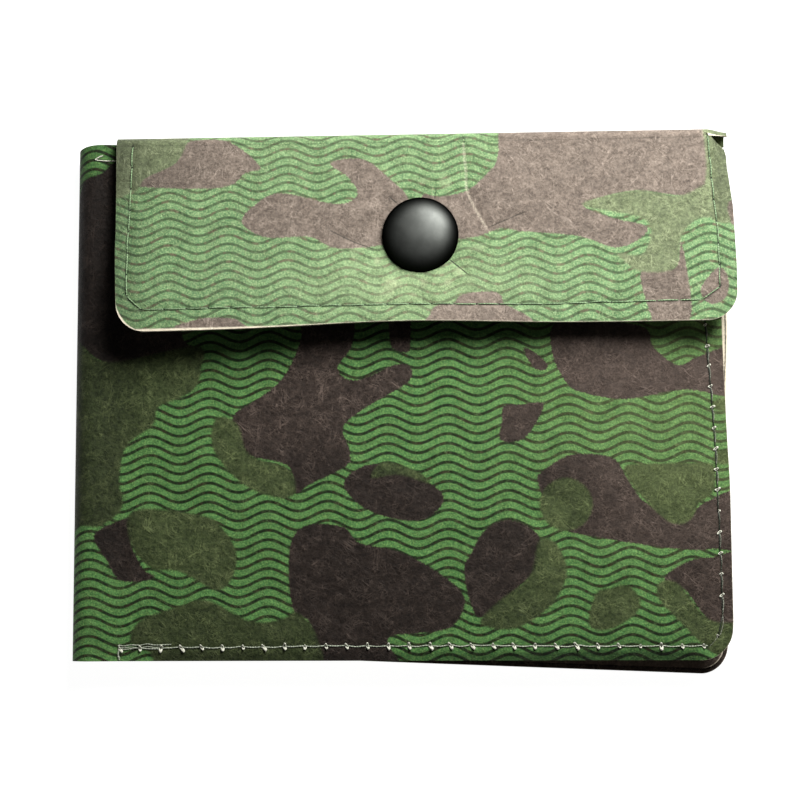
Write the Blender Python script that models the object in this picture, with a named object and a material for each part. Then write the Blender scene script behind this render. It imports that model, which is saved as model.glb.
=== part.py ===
"""A closed folding wallet of printed paper-like sheet, with an outside coin pocket shut by a snap flap.

The wallet lies on its back leaf: +X runs from the spine to the free edge, +Y from the bottom edge to the
flap's fold, and +Z out of the front. The origin is the centre of the bounding box, at its bottom.
Lengths in the constants are millimetres; MM turns them into Blender's metres.
"""

import math

import bmesh
import bpy
from mathutils import Vector

MM = 0.001

# Outline of the leaves
SPINE_X = -54.4  # the spine's furthest point
EDGE_X = 52.6  # free edge of the front leaf
TOP_Y = 43.7
BOTTOM_Y = -42.0
CREASE_X = -53.7  # where the flat sheets end beside the spine
CORNER_R = 4.7
TOP_CORNER_R = 1.5
BACK_DROP = 2.55  # how far the back leaf's free corner hangs below the front leaf's
BACK_TOP_X = 53.0
BACK_BOTTOM_X = 52.8

# Sheets and the gaps between them
SHEET = 0.30
CARD_SHEET = 0.25
GAP = 0.30
COIN_GAP = 0.95  # room in the empty coin pocket
BEND = 0.35  # bulge of a folded strip over its height
LINING_BEND = 0.15  # the same for the spine's lining
BEND_ROOM = 0.05  # more than the gap, above and below the spine's strip
FOLD_ROOM = (0.25, 0.40)  # below and above the fold's strip

# Levels of the sheets' undersides
BACK_OUTER_Z = 0.0
BACK_LINING_Z = BACK_OUTER_Z + SHEET + GAP
BACK_CARDS_Z = BACK_LINING_Z + SHEET + GAP
CARD_STEP = CARD_SHEET + GAP
FRONT_CARDS_Z = 3.20
FRONT_LINING_Z = FRONT_CARDS_Z + 3 * CARD_STEP
REAR_WALL_Z = FRONT_LINING_Z + SHEET + GAP
FRONT_OUTER_Z = REAR_WALL_Z + SHEET + COIN_GAP
FLAP_LINING_Z = 9.10
FLAP_OUTER_Z = FLAP_LINING_Z + SHEET + GAP

# Card pockets: cards are 85.6 wide and 54 high
CARD_X = (-46.0, 50.0)
CARD_TOPS = {"upper": 12.0, "middle": 4.0, "lower": -4.0}
LINING_INSET = 0.9
LINING_TOP_INSET = 1.2
LINING_X = -52.8
SPINE_LINING_X = -53.3
WALL_INSET = 0.2
WALL_TOP_INSET = 0.1

# Flap
FLAP_LEFT_X = -47.4
FLAP_FOLD_X = 50.4
FLAP_X = 54.4
FLAP_FLARE = ((0.0, 21.0), (0.4, 31.0), (1.35, 37.6), (1.9, 40.7))  # in from FLAP_X, at these heights
FLAP_FREE_Y = (11.8, 12.5)  # at the left and at the right
FOLD_Y = 43.9
CROWN_Y = 44.5
FOLD_END_INSET = 0.3
FLAP_LINING_INSET = 0.3

# Snap
SNAP_X = 3.3
SNAP_Y = 26.9
CAP_R = 6.25
CAP_RIM_H = 0.7
CAP_H = 2.5
SHANK_R = 1.1
HOLE_R = 1.5
SOCKET_R = 4.8
SOCKET_BORE_R = 2.35
SOCKET_MOUTH_Z = 7.85
SOCKET_DEPTH = 0.75
SOCKET_WALL = 0.2
SOCKET_CHAMFER = 0.4
SHANK_GAP = 0.2  # between the socket's roof and the cap's shank
STUD_R = 1.9
STUD_NECK_R = 1.65
STUD_NECK_H = 0.4
STUD_TIP_R = 1.4
STUD_FLANGE_R = 4.5
STUD_FLANGE_H = 0.25
STUD_H = 1.0
RIVET_R = 3.6
RIVET_H = 0.22
ROUND_STEPS = 32
HOLE_CUT_Z = 8.0  # middle of the tool that cuts the sheets' holes
HOLE_CUT_H = 30.0

# Threads
THREAD_R = 0.10
SEAM_INSET = 2.3
FLAP_SEAM_INSET = 3.3
FLAP_SEAM_TOP_INSET = 1.0
SEAM_START_X = -46.8
SEAM_TOP_Y = 40.0
TOP_SEAM_Y = 41.4
TOP_SEAM_X = (-51.4, 50.2)
POCKET_SEAM_INSET = {"back": 1.2, "front": 2.2}
POCKET_SEAM_END = 1.0  # how far the pockets' stitching stops short
BETWEEN_LEAVES_Z = (BACK_CARDS_Z + 2 * CARD_STEP + CARD_SHEET + FRONT_CARDS_Z) / 2

ARC_STEPS = 6
SMOOTH_DEGREES = 40
AXIS_SIZE = 5.0

# Hinge axes, as (x, z) for the spine's and (y, z) for the flap's
BACK_CREASE = (-53.9, BACK_OUTER_Z + SHEET)
FRONT_CREASE = (-53.9, FRONT_OUTER_Z)
FOLD_LOWER = (FOLD_Y, REAR_WALL_Z + SHEET / 2)
FOLD_UPPER = (FOLD_Y, FLAP_OUTER_Z)


def clear_scene():
    for obj in list(bpy.data.objects):
        bpy.data.objects.remove(obj, do_unlink=True)


def material(name, colour, roughness, metallic=0.0):
    made = bpy.data.materials.new(name)
    made.use_nodes = True
    shader = made.node_tree.nodes["Principled BSDF"]
    shader.inputs["Base Color"].default_value = (*colour, 1.0)
    shader.inputs["Roughness"].default_value = roughness
    shader.inputs["Metallic"].default_value = metallic
    return made


def body_frames():
    """One empty for each moving body, on its hinge axis, chained from the back leaf to the flap."""
    places = {
        "back_leaf": (None, (0.0, 0.0, 0.0)),
        "spine": ("back_leaf", (BACK_CREASE[0], 0.0, BACK_CREASE[1])),
        "front_leaf": ("spine", (FRONT_CREASE[0], 0.0, FRONT_CREASE[1])),
        "flap_fold": ("front_leaf", (0.0, *FOLD_LOWER)),
        "flap": ("flap_fold", (0.0, *FOLD_UPPER)),
    }
    frames = {}
    for body, (parent, place) in places.items():
        frame = bpy.data.objects.new("axis_" + body, None)
        frame.empty_display_size = AXIS_SIZE * MM
        bpy.context.scene.collection.objects.link(frame)
        frame.location = Vector(place) * MM
        if parent:
            frame.parent = frames[parent]
            frame.location -= Vector(places[parent][1]) * MM
        frames[body] = frame
    bpy.context.view_layer.update()
    return frames


def add(name, data, body, look):
    """Links a piece, given in the wallet's own coordinates, to its body's frame."""
    obj = bpy.data.objects.new(name, data)
    bpy.context.scene.collection.objects.link(obj)
    obj.data.materials.append(look)
    obj.parent = FRAMES[body]
    obj.location = -FRAMES[body].matrix_world.translation
    return obj


def rounded(corners):
    """The outline through (x, y, radius) corners, given anticlockwise, with an arc at each."""
    points = []
    for i, (x, y, radius) in enumerate(corners):
        here = Vector((x, y))
        if radius == 0:
            points.append(here)
            continue
        before = (Vector(corners[i - 1][:2]) - here).normalized()
        after = (Vector(corners[(i + 1) % len(corners)][:2]) - here).normalized()
        half = before.angle(after) / 2
        centre = here + (before + after).normalized() * (radius / math.sin(half))
        start = here + before * (radius / math.tan(half)) - centre
        turn = math.pi - 2 * half
        for step in range(ARC_STEPS + 1):
            angle = turn * step / ARC_STEPS
            cos, sin = math.cos(angle), math.sin(angle)
            points.append(centre + Vector((start.x * cos - start.y * sin, start.x * sin + start.y * cos)))
    return points


def prism(name, base, rise):
    """A closed mesh from a face through base, a list of 3D points, pushed along rise."""
    bm = bmesh.new()
    face = bm.faces.new([bm.verts.new(Vector(p) * MM) for p in base])
    pushed = bmesh.ops.extrude_face_region(bm, geom=[face])
    moved = [v for v in pushed["geom"] if isinstance(v, bmesh.types.BMVert)]
    bmesh.ops.translate(bm, verts=moved, vec=Vector(rise) * MM)
    bmesh.ops.recalc_face_normals(bm, faces=bm.faces)
    mesh = bpy.data.meshes.new(name)
    bm.to_mesh(mesh)
    bm.free()
    return mesh


def sheet(name, body, corners, level, thickness, look):
    """A flat sheet with this outline, whose underside is at level."""
    base = [(p.x, p.y, level) for p in rounded(corners)]
    return add(name, prism(name, base, (0, 0, thickness)), body, look)


def strip(name, body, ends, bulge, across, along, span, look):
    """A bent strip: an arc from ends[0] to ends[1] in the plane (across, Z), pushed along the other axis."""
    (low, high), half = ends, SHEET / 2
    chord = high - low
    radius = (chord * chord / 4 + bulge * bulge) / (2 * bulge)
    swing = math.asin(chord / 2 / radius)
    rim = []
    for side in (half, -half):
        order = range(ARC_STEPS + 1) if side > 0 else range(ARC_STEPS, -1, -1)
        for step in order:
            angle = swing * (2 * step / ARC_STEPS - 1)
            out = (radius + side) * math.cos(angle) - radius + bulge
            rim.append((out, (low + high) / 2 + (radius + side) * math.sin(angle)))
    base = [place_strip(across, along, out, level, span[0]) for out, level in rim]
    rise = place_strip((0, across[1]), along, 0, 0, span[1] - span[0])
    return add(name, prism(name, base, rise), body, look)


def place_strip(across, along, out, level, run):
    """A strip's point from its distance out of the chord, its level and its place along the strip."""
    chord_at, sign = across
    side = chord_at + sign * out
    return (side, run, level) if along == "Y" else (run, side, level)


def turned(name, body, profile, look):
    """A piece turned round the snap's axis from a closed profile of (radius, z) points."""
    bm = bmesh.new()
    verts = [bm.verts.new(Vector((SNAP_X + r, SNAP_Y, z)) * MM) for r, z in profile]
    edges = [bm.edges.new((verts[i - 1], verts[i])) for i in range(len(verts))]
    bmesh.ops.spin(
        bm,
        geom=verts + edges,
        cent=Vector((SNAP_X, SNAP_Y, 0)) * MM,
        axis=(0, 0, 1),
        angle=2 * math.pi,
        steps=ROUND_STEPS,
        use_merge=True,
    )
    bmesh.ops.remove_doubles(bm, verts=bm.verts, dist=MM / 1000)
    on_axis = [f for f in bm.faces if f.calc_area() < 1e-14]
    bmesh.ops.delete(bm, geom=on_axis, context="FACES")
    bmesh.ops.dissolve_degenerate(bm, edges=bm.edges, dist=MM / 1000)
    bmesh.ops.recalc_face_normals(bm, faces=bm.faces)
    mesh = bpy.data.meshes.new(name)
    bm.to_mesh(mesh)
    bm.free()
    mesh.shade_smooth()
    mesh.set_sharp_from_angle(angle=math.radians(SMOOTH_DEGREES))
    return add(name, mesh, body, look)


def thread(name, body, points, look):
    """A thin tube through 3D points, standing for one line of stitching."""
    curve = bpy.data.curves.new(name, "CURVE")
    curve.dimensions = "3D"
    curve.bevel_depth = THREAD_R * MM
    curve.bevel_resolution = 1
    curve.use_fill_caps = True
    curve.resolution_u = 1
    line = curve.splines.new("POLY")
    line.points.add(len(points) - 1)
    for made, point in zip(line.points, points):
        made.co = (*(Vector(point) * MM), 1.0)
    return add(name, curve, body, look)


def punch(obj, radius):
    """Cuts a round hole through a sheet on the snap's axis."""
    bm = bmesh.new()
    size = radius * MM
    bmesh.ops.create_cone(
        bm, cap_ends=True, segments=ROUND_STEPS, radius1=size, radius2=size, depth=HOLE_CUT_H * MM
    )
    bmesh.ops.translate(bm, verts=bm.verts, vec=Vector((SNAP_X, SNAP_Y, HOLE_CUT_Z)) * MM)
    mesh = bpy.data.meshes.new(obj.name + "_hole")
    bm.to_mesh(mesh)
    bm.free()
    cutter = bpy.data.objects.new(mesh.name, mesh)
    bpy.context.scene.collection.objects.link(cutter)
    cutter.hide_render = True
    cutter.display_type = "WIRE"
    cut = obj.modifiers.new("snap_hole", "BOOLEAN")
    cut.operation = "DIFFERENCE"
    cut.object = cutter


def front_corners(top, inset=0.0, left=CREASE_X):
    """The front leaf's outline: square beside the spine, rounded at its free bottom corner."""
    right = EDGE_X - inset
    return [
        (left, BOTTOM_Y + inset, 0),
        (right, BOTTOM_Y + inset, CORNER_R - inset),
        (right, top, TOP_CORNER_R),
        (left, top, 0),
    ]


def back_corners(top, inset=0.0, left=CREASE_X):
    """The back leaf's outline, a little askew, so that its free bottom corner hangs lower."""
    return [
        (left, BOTTOM_Y + inset, 0),
        (BACK_BOTTOM_X - inset, BOTTOM_Y - BACK_DROP + inset, CORNER_R - inset),
        (BACK_TOP_X - inset, top, TOP_CORNER_R),
        (left, top, 0),
    ]


def flap_corners(inset=0.0):
    """The flap's outline, flaring a little towards its free edge."""
    left, right = FLAP_FREE_Y
    return [
        (FLAP_LEFT_X + inset, left + inset, CORNER_R - inset),
        (FLAP_X - inset, right + inset, CORNER_R - inset),
        *((FLAP_X - flare - inset, y, 0) for flare, y in FLAP_FLARE),
        (FLAP_FOLD_X - inset, FOLD_Y - FOLD_END_INSET, 0),
        (FLAP_LEFT_X + inset, FOLD_Y - FOLD_END_INSET, 0),
    ]


def card_pockets(side, body, level, looks):
    """Three stepped pockets. The shortest lies next to the other leaf."""
    order = ["upper", "middle", "lower"] if side == "back" else ["lower", "middle", "upper"]
    for step, height in enumerate(order):
        corners = [
            (CARD_X[0], BOTTOM_Y + LINING_INSET, 0),
            (CARD_X[1], BOTTOM_Y + LINING_INSET, CORNER_R - LINING_INSET),
            (CARD_X[1], CARD_TOPS[height], 0),
            (CARD_X[0], CARD_TOPS[height], 0),
        ]
        name = f"{side}_card_pocket_{height}"
        sheet(name, body, corners, level + step * CARD_STEP, CARD_SHEET, looks["inside"])


def corner_seam(edge, level, inset, top):
    """Points of a seam along the bottom and up the free edge, round the corner between them."""
    x, y = edge
    run = [(SEAM_START_X, BOTTOM_Y + inset, 0), (x - inset, y + inset, CORNER_R - inset), (x - inset, top, 0)]
    path = rounded(run)
    return [(p.x, p.y, level) for p in path]


def back_leaf(looks):
    sheet("back_outer_panel", "back_leaf", back_corners(TOP_Y), BACK_OUTER_Z, SHEET, looks["outer"])
    inner = back_corners(TOP_Y - LINING_TOP_INSET, LINING_INSET, LINING_X)
    sheet("back_lining", "back_leaf", inner, BACK_LINING_Z, SHEET, looks["inside"])
    card_pockets("back", "back_leaf", BACK_CARDS_Z, looks)
    seam = corner_seam((BACK_BOTTOM_X, BOTTOM_Y), BETWEEN_LEAVES_Z, SEAM_INSET, SEAM_TOP_Y)
    thread("back_seam_thread", "back_leaf", seam, looks["dark_thread"])
    pocket_seam("back", looks)


def pocket_seam(side, looks):
    """The stitching that closes the card pockets beside the spine."""
    x = CARD_X[0] + POCKET_SEAM_INSET[side]
    ends = [BOTTOM_Y + SEAM_INSET + POCKET_SEAM_END, CARD_TOPS["upper"] - POCKET_SEAM_END]
    points = [(x, y, BETWEEN_LEAVES_Z) for y in ends]
    thread(side + "_pocket_thread", side + "_leaf", points, looks["dark_thread"])


def spine(looks):
    room = GAP + BEND_ROOM
    low, high = BACK_OUTER_Z + SHEET + room, FRONT_OUTER_Z - room
    chord_x = SPINE_X + SHEET / 2 + BEND
    span = (BOTTOM_Y, TOP_Y)
    strip("spine_outer_panel", "spine", (low, high), BEND, (chord_x, -1), "Y", span, looks["outer"])
    low, high = BACK_LINING_Z + SHEET + GAP, FRONT_LINING_Z - GAP
    span = (BOTTOM_Y + LINING_INSET, TOP_Y - LINING_TOP_INSET)
    strip("spine_lining", "spine", (low, high), LINING_BEND, (SPINE_LINING_X, -1), "Y", span, looks["inside"])


def front_leaf(looks):
    card_pockets("front", "front_leaf", FRONT_CARDS_Z, looks)
    inner = front_corners(TOP_Y - LINING_TOP_INSET, LINING_INSET, LINING_X)
    sheet("front_lining", "front_leaf", inner, FRONT_LINING_Z, SHEET, looks["inside"])
    wall = front_corners(TOP_Y - WALL_TOP_INSET, WALL_INSET, LINING_X)
    sheet("coin_pocket_rear_wall", "front_leaf", wall, REAR_WALL_Z, SHEET, looks["outer"])
    outer = sheet(
        "front_outer_panel", "front_leaf", front_corners(TOP_Y), FRONT_OUTER_Z, SHEET, looks["outer"]
    )
    punch(outer, HOLE_R)
    level = FRONT_OUTER_Z + SHEET + GAP
    seam = corner_seam((EDGE_X, BOTTOM_Y), level, SEAM_INSET, SEAM_TOP_Y)
    thread("front_seam_thread", "front_leaf", seam, looks["white_thread"])
    ends = [(x, TOP_SEAM_Y, level) for x in TOP_SEAM_X]
    thread("top_seam_thread", "front_leaf", ends, looks["white_thread"])
    pocket_seam("front", looks)


def flap(looks):
    low, high = REAR_WALL_Z + SHEET + FOLD_ROOM[0], FLAP_OUTER_Z - FOLD_ROOM[1]
    chord_y = CROWN_Y - SHEET / 2 - BEND
    span = (FLAP_LEFT_X, FLAP_FOLD_X)
    strip("flap_fold_strip", "flap_fold", (low, high), BEND, (chord_y, 1), "X", span, looks["outer"])
    outer = sheet("flap_outer_panel", "flap", flap_corners(), FLAP_OUTER_Z, SHEET, looks["outer"])
    lining = sheet(
        "flap_lining", "flap", flap_corners(FLAP_LINING_INSET), FLAP_LINING_Z, SHEET, looks["inside"]
    )
    punch(outer, HOLE_R)
    punch(lining, HOLE_R)
    level = FLAP_OUTER_Z + SHEET + GAP
    left, right = FLAP_FREE_Y
    run = [
        (FLAP_LEFT_X + SEAM_INSET, FOLD_Y - FLAP_SEAM_TOP_INSET, 0),
        (FLAP_LEFT_X + SEAM_INSET, left + FLAP_SEAM_INSET, CORNER_R - SEAM_INSET),
        (FLAP_X - SEAM_INSET, right + FLAP_SEAM_INSET, CORNER_R - SEAM_INSET),
        *((FLAP_X - flare - SEAM_INSET, y, 0) for flare, y in FLAP_FLARE),
    ]
    points = [(p.x, p.y, level) for p in rounded(run)]
    thread("flap_seam_thread", "flap", points, looks["dark_thread"])


def snap(looks):
    """Cap and socket on the flap, stud and rivet on the front panel."""
    top = FLAP_OUTER_Z + SHEET + GAP
    dome = []
    for step in range(ARC_STEPS + 1):
        angle = math.pi / 2 * step / ARC_STEPS
        height = CAP_RIM_H + (CAP_H - CAP_RIM_H) * math.sin(angle)
        dome.append((CAP_R * math.cos(angle), top + height))
    dome[-1] = (0.0, top + CAP_H)
    roof = SOCKET_MOUTH_Z + SOCKET_DEPTH
    shank_end = roof + SOCKET_WALL + SHANK_GAP
    cap = [(0.0, shank_end), (SHANK_R, shank_end), (SHANK_R, top), (CAP_R, top), *dome]
    turned("snap_cap", "flap", cap, looks["black_metal"])
    socket = [
        (0.0, roof),
        (SOCKET_BORE_R, roof),
        (SOCKET_BORE_R, SOCKET_MOUTH_Z),
        (SOCKET_R - SOCKET_CHAMFER, SOCKET_MOUTH_Z),
        (SOCKET_R, SOCKET_MOUTH_Z + SOCKET_CHAMFER),
        (SOCKET_R, roof + SOCKET_WALL),
        (0.0, roof + SOCKET_WALL),
    ]
    turned("snap_socket", "flap", socket, looks["steel"])
    base = FRONT_OUTER_Z + SHEET + GAP
    neck = base + STUD_FLANGE_H
    stud = [
        (0.0, base),
        (STUD_FLANGE_R, base),
        (STUD_FLANGE_R, neck),
        (STUD_NECK_R, neck),
        (STUD_R, neck + STUD_NECK_H),
        (STUD_TIP_R, base + STUD_H),
        (0.0, base + STUD_H),
    ]
    turned("snap_stud", "front_leaf", stud, looks["steel"])
    low = FRONT_OUTER_Z - GAP - RIVET_H
    rivet = [
        (0.0, low),
        (RIVET_R, low),
        (RIVET_R, low + RIVET_H),
        (SHANK_R, low + RIVET_H),
        (SHANK_R, base - GAP),
        (0.0, base - GAP),
    ]
    turned("snap_stud_rivet", "front_leaf", rivet, looks["steel"])


def main():
    looks = {
        "outer": material("printed_sheet", (0.10, 0.26, 0.09), 0.75),
        "inside": material("plain_sheet", (0.62, 0.60, 0.52), 0.8),
        "white_thread": material("white_thread", (0.75, 0.73, 0.66), 0.8),
        "dark_thread": material("dark_thread", (0.03, 0.05, 0.03), 0.8),
        "black_metal": material("black_metal", (0.012, 0.013, 0.014), 0.35, 0.3),
        "steel": material("snap_steel", (0.45, 0.45, 0.44), 0.3, 1.0),
    }
    back_leaf(looks)
    spine(looks)
    front_leaf(looks)
    flap(looks)
    snap(looks)


clear_scene()
FRAMES = body_frames()
main()
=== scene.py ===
"""Looks of the folding wallet: printed fibrous sheets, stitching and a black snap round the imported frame.

Lengths are millimetres unless a name says otherwise; MM turns them into Blender's metres. The wallet lies on
its back leaf: +X runs from the spine to the free edge, +Y from the bottom edge to the flap's fold, +Z up.
"""

import math

import bpy
import numpy as np
from mathutils import Matrix, Vector


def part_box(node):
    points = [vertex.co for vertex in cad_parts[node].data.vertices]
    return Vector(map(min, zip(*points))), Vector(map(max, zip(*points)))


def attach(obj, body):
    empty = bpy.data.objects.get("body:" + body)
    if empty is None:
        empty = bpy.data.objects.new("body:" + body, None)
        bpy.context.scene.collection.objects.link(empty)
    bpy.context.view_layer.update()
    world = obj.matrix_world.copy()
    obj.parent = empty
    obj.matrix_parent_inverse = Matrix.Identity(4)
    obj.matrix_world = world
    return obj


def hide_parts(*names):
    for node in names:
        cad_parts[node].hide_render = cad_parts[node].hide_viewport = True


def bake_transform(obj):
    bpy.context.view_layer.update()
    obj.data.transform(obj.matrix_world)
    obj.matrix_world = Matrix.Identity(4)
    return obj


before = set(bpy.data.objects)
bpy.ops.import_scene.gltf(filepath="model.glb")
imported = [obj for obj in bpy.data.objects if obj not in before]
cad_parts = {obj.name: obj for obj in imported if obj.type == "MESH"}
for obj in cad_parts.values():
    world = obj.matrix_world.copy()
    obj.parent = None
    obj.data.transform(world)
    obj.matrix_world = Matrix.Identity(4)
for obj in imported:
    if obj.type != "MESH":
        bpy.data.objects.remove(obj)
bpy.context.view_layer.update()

MM = 0.001


def box_mm(node):
    """Lowest and highest corner of a CAD node, in millimetres."""
    low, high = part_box(node)
    return np.array(low) / MM, np.array(high) / MM


# Places read from the frame
FRONT_LOW, FRONT_HIGH = box_mm("front_outer_panel")
BACK_LOW, BACK_HIGH = box_mm("back_outer_panel")
SPINE_LOW = box_mm("spine_outer_panel")[0]
FLAP_LOW, FLAP_HIGH = box_mm("flap_outer_panel")
FOLD_HIGH = box_mm("flap_fold_strip")[1]
WALL_LOW, WALL_HIGH = box_mm("coin_pocket_rear_wall")
CAP_LOW, CAP_HIGH = box_mm("snap_cap")
SNAP_X = (CAP_LOW[0] + CAP_HIGH[0]) / 2
SNAP_Y = (CAP_LOW[1] + CAP_HIGH[1]) / 2
CAP_R = (CAP_HIGH[0] - CAP_LOW[0]) / 2

# Sheets
SHEET = 0.30
CORNER_R, TOP_CORNER_R = 4.7, 3.0
FRONT_TOP = FRONT_HIGH[2]
SPINE_R = 3.0  # outer radius of the soft bends beside the spine
SPINE_FOLD_X = SPINE_LOW[0] + SPINE_R  # where the flat leaves begin
SPINE_MID_Z = FRONT_TOP / 2
QUARTER = math.pi / 2

# The fold at the flap's top, and the flap, which climbs from the fold to its free edge
FOLD_R = 1.6
FOLD_START_Y = FOLD_HIGH[1] - FOLD_R
FOLD_MID_Z = WALL_LOW[2] + FOLD_R
FLAP_RISE = 0.09
FLAP_LEAN = math.atan(FLAP_RISE)
FLAP_START_Y = FOLD_START_Y + FOLD_R * math.sin(FLAP_LEAN)
FLAP_START_Z = FOLD_MID_Z + FOLD_R * math.cos(FLAP_LEAN)
FLAP_CROWN = FLAP_START_Y + FOLD_R * (QUARTER - FLAP_LEAN)
FLAP_MID_Z = FLAP_HIGH[2]
# The flap's length, narrowing and sidewards slip as it climbs, and how far it moves to the right and down
# where it stands off
FLAP_STRETCH, FLAP_TAPER, FLAP_SLIP = 1.0065, 1 / 300, 0.05
CURL_ASIDE, CURL_ALONG = 0.2, 0.14

FAR = 6.0  # distances in attributes stop here


# --- outlines of the print


def blob(*numbers):
    """Corner points from a flat run of x, y, x, y."""
    return [(numbers[i], numbers[i + 1]) for i in range(0, len(numbers), 2)]


FRONT_BROWN = [
    blob(
        -16.5, 10.5, -19.5, 4, -24.5, 0, -27.5, -2, -28.5, -7.5, -24, -9, -19.5, -10, -18, -11.5,
        -17.5, -15, -15, -13.5, -9, -10.5, -8.5, -8, -9.5, -4, -5, -0.5, 1, 3, 1.5, 5.5, -1, 6, -7.5, 3.5,
        -10.5, 5.5, -8, 9.5, -8.5, 15, -16.5, 15.5,
    ),
    blob(-9.5, -13.5, -6, -10.5, -0.5, -11, 6.5, -15, 5, -18.5, 0.5, -19.5, -6, -17.5),
    blob(
        -18, -22.5, -15, -20, -9.5, -20.5, -7, -23, -0.5, -24.5, 6, -28, 10, -32, 8, -36.5, 3.5, -37.5,
        -2.5, -38.5, -0.5, -44, -13.5, -44, -15, -36, -17.5, -34.5, -18.5, -29,
    ),
    blob(11, -25, 13.5, -21, 17.5, -19.5, 22, -22, 22, -27, 19, -30, 13, -35, 11, -33, 10, -27.5),
    blob(16.6, -0.9, 19.5, -0.7, 22.6, -0.4, 23.1, -0.9, 22, -3.5, 19.5, -6.5, 16, -6.5, 16.3, -3.5),
    blob(
        24.5, 8, 27, 2.5, 30, 1, 36.5, 0, 46, 1.5, 55, 0.5, 55, 8.5, 48.5, 7, 45, 5.5, 41, 8.5, 39, 12,
        26, 13,
    ),
    blob(
        22, -13.5, 23, -11.5, 27.5, -9, 34, -9.5, 36.5, -13, 39.5, -17, 45.5, -19.5, 48.5, -17, 55, -15,
        55, -23.9, 50, -24.3, 44.5, -24.3, 32.5, -22.5, 25.5, -20.5,
    ),
    blob(42, -29, 46, -26.2, 50, -25.6, 55, -25.2, 55, -36, 49.5, -36, 45.5, -31),
    blob(
        -50.5, -21.5, -46, -19, -43.5, -18.5, -42, -20, -44.5, -22.5, -42.5, -27, -40.5, -28.5, -46, -29,
        -48.5, -25.5,
    ),
    blob(19.8, 8.6, 22, 7.6, 23.8, 5.8, 23.4, 4.9, 21.6, 5.2),
    blob(-1.9, 18, 1.2, 18, 1.5, 9.6, 0.9, 8.0, -0.9, 8.4, -1.9, 10),
    blob(
        -60, 30, -55.5, 34, -53, 37.6, -50, 38.8, -46.5, 40.8, -37, 36, -36.6, 13, -34, 9, -35, 6,
        -48, 6.5, -54, 10, -60, 10,
    ),
]
FRONT_OLIVE = [
    blob(
        -60, 10.5, -54, 10.5, -48.5, 7, -34, 9.5, -33, 6, -34.5, 2, -40, -0.5, -41, -3.5, -45.5, -7,
        -46.5, -12.5, -46, -17, -49.5, -20, -53.5, -20, -60, -21,
    ),
    blob(
        -44, -17.5, -32.5, -18.5, -29, -21, -27, -25, -28, -29, -30.5, -30.5, -36.5, -27.5, -41, -27,
        -44.5, -23,
    ),
    blob(22.2, -17, 23.5, -14, 26.5, -12.7, 29.5, -14, 30.8, -17, 29.5, -20, 26.5, -21.3, 23.5, -20),
    blob(
        -44.3, -39, -43.8, -36.6, -42, -35, -36, -33, -32.6, -32.1, -30, -32.9, -28, -34.1, -25.6, -35.3,
        -22.5, -35.8, -19, -35, -17, -34.2, -14, -38, -15, -44, -38, -44, -41, -40.8,
    ),
    blob(-30.5, -2.5, -27, -3.5, -25, -8.5, -18.5, -11, -17.5, -15, -21, -15.5, -26.5, -13, -31, -7.5),
    blob(-5, -12.5, -3, -10, 2.5, -11.5, 4.5, -13.5, -0.5, -12),
    blob(
        22, -23, 24.5, -23, 26.5, -27, 25.5, -31, 22.5, -34.5, 17.5, -37, 12.5, -36, 15.5, -32.5,
        20.5, -28.5,
    ),
    blob(31, -31.5, 33.5, -30.5, 36, -30, 38, -32, 37.5, -34.5, 33.5, -37, 30, -36.5),
    blob(41.5, -29.5, 44.5, -30, 49, -35.5, 55, -36.5, 55, -40.5, 50, -41, 44.5, -36, 41, -32),
    blob(
        36, -11, 40, -10.5, 47, -10.4, 50.3, -10.9, 50.2, -15, 48, -16.9, 46.6, -19.4, 44.6, -20.3,
        42, -19.2, 37.5, -14.4,
    ),
    blob(50.9, -0.2, 55, 0.3, 55, -1.6, 51.2, -2.0),
    blob(50.8, -8.8, 55, -8.2, 55, -10.2, 51, -10.6),
]
FLAP_BROWN = [
    blob(-35, 43.5, -28.5, 43.5, -23, 39, -25.5, 38, -29.5, 35.5, -43.5, 36, -42, 37.5, -37, 40),
    blob(
        -26, 29.5, -24, 32.5, -19.5, 34.5, -10.5, 32.5, -7, 34, -8.5, 37, -11.5, 39.5, -6, 40, -1, 36,
        1.5, 33, 3, 27, -3, 25.5, -10.5, 25, -15, 27, -22, 27,
    ),
    blob(
        3.5, 33.5, 6.5, 33.5, 11, 34.5, 14.5, 37.5, 16, 40, 17, 48, 24, 50, 46, 50, 50.4, 46, 50.2, 37.5,
        49, 33.5, 45.5, 33, 39, 34, 33, 33, 30, 31.5, 34.5, 29.5, 40, 28, 39, 26, 35, 24.5, 29, 26.5,
        19.5, 27.5, 16.5, 28, 11.5, 26.5, 5, 27,
    ),
    blob(39, 20.5, 44.5, 21, 45.5, 25.5, 47, 15.5, 46.5, 12, 45.5, 10, 41.5, 10, 40.5, 13),
    blob(48.5, 17.5, 51.5, 21, 53, 19, 52.5, 16, 50, 15),
    blob(
        4.6, 11.5, 4.9, 14.3, 6.0, 15.4, 8.6, 15.7, 9.4, 16.8, 11.6, 17.4, 14.6, 17.5, 16.2, 16.9,
        16.8, 15.5, 18.6, 14.5, 21.4, 12.3, 16, 10,
    ),
    blob(-37, 11.8, -35, 13, -32.5, 13.6, -30, 13.7, -27.3, 13.5, -26, 12.7, -24.6, 11.4, -30, 9),
    blob(53.2, 31.8, 55.5, 32.6, 55.5, 28, 53.9, 28, 53.0, 30),
]
FLAP_OLIVE = [
    blob(-50, 50, -35, 50, -35, 44.5, -37, 40, -42, 37.5, -44, 35, -50, 35),
    blob(
        30, 31.5, 33, 33, 39, 34, 45.5, 33, 50.5, 35, 52.5, 32, 51, 29.5, 48, 29, 45.5, 26, 44.5, 21,
        39, 20.5, 36, 22.5, 35.5, 23.5, 39.5, 23.5, 40, 29,
    ),
    blob(50, 48, 57, 48, 57, 32.9, 53.7, 32.2, 53.1, 30.5, 53.5, 28.4, 50.6, 29, 49.4, 33, 49.9, 38),
]

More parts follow.
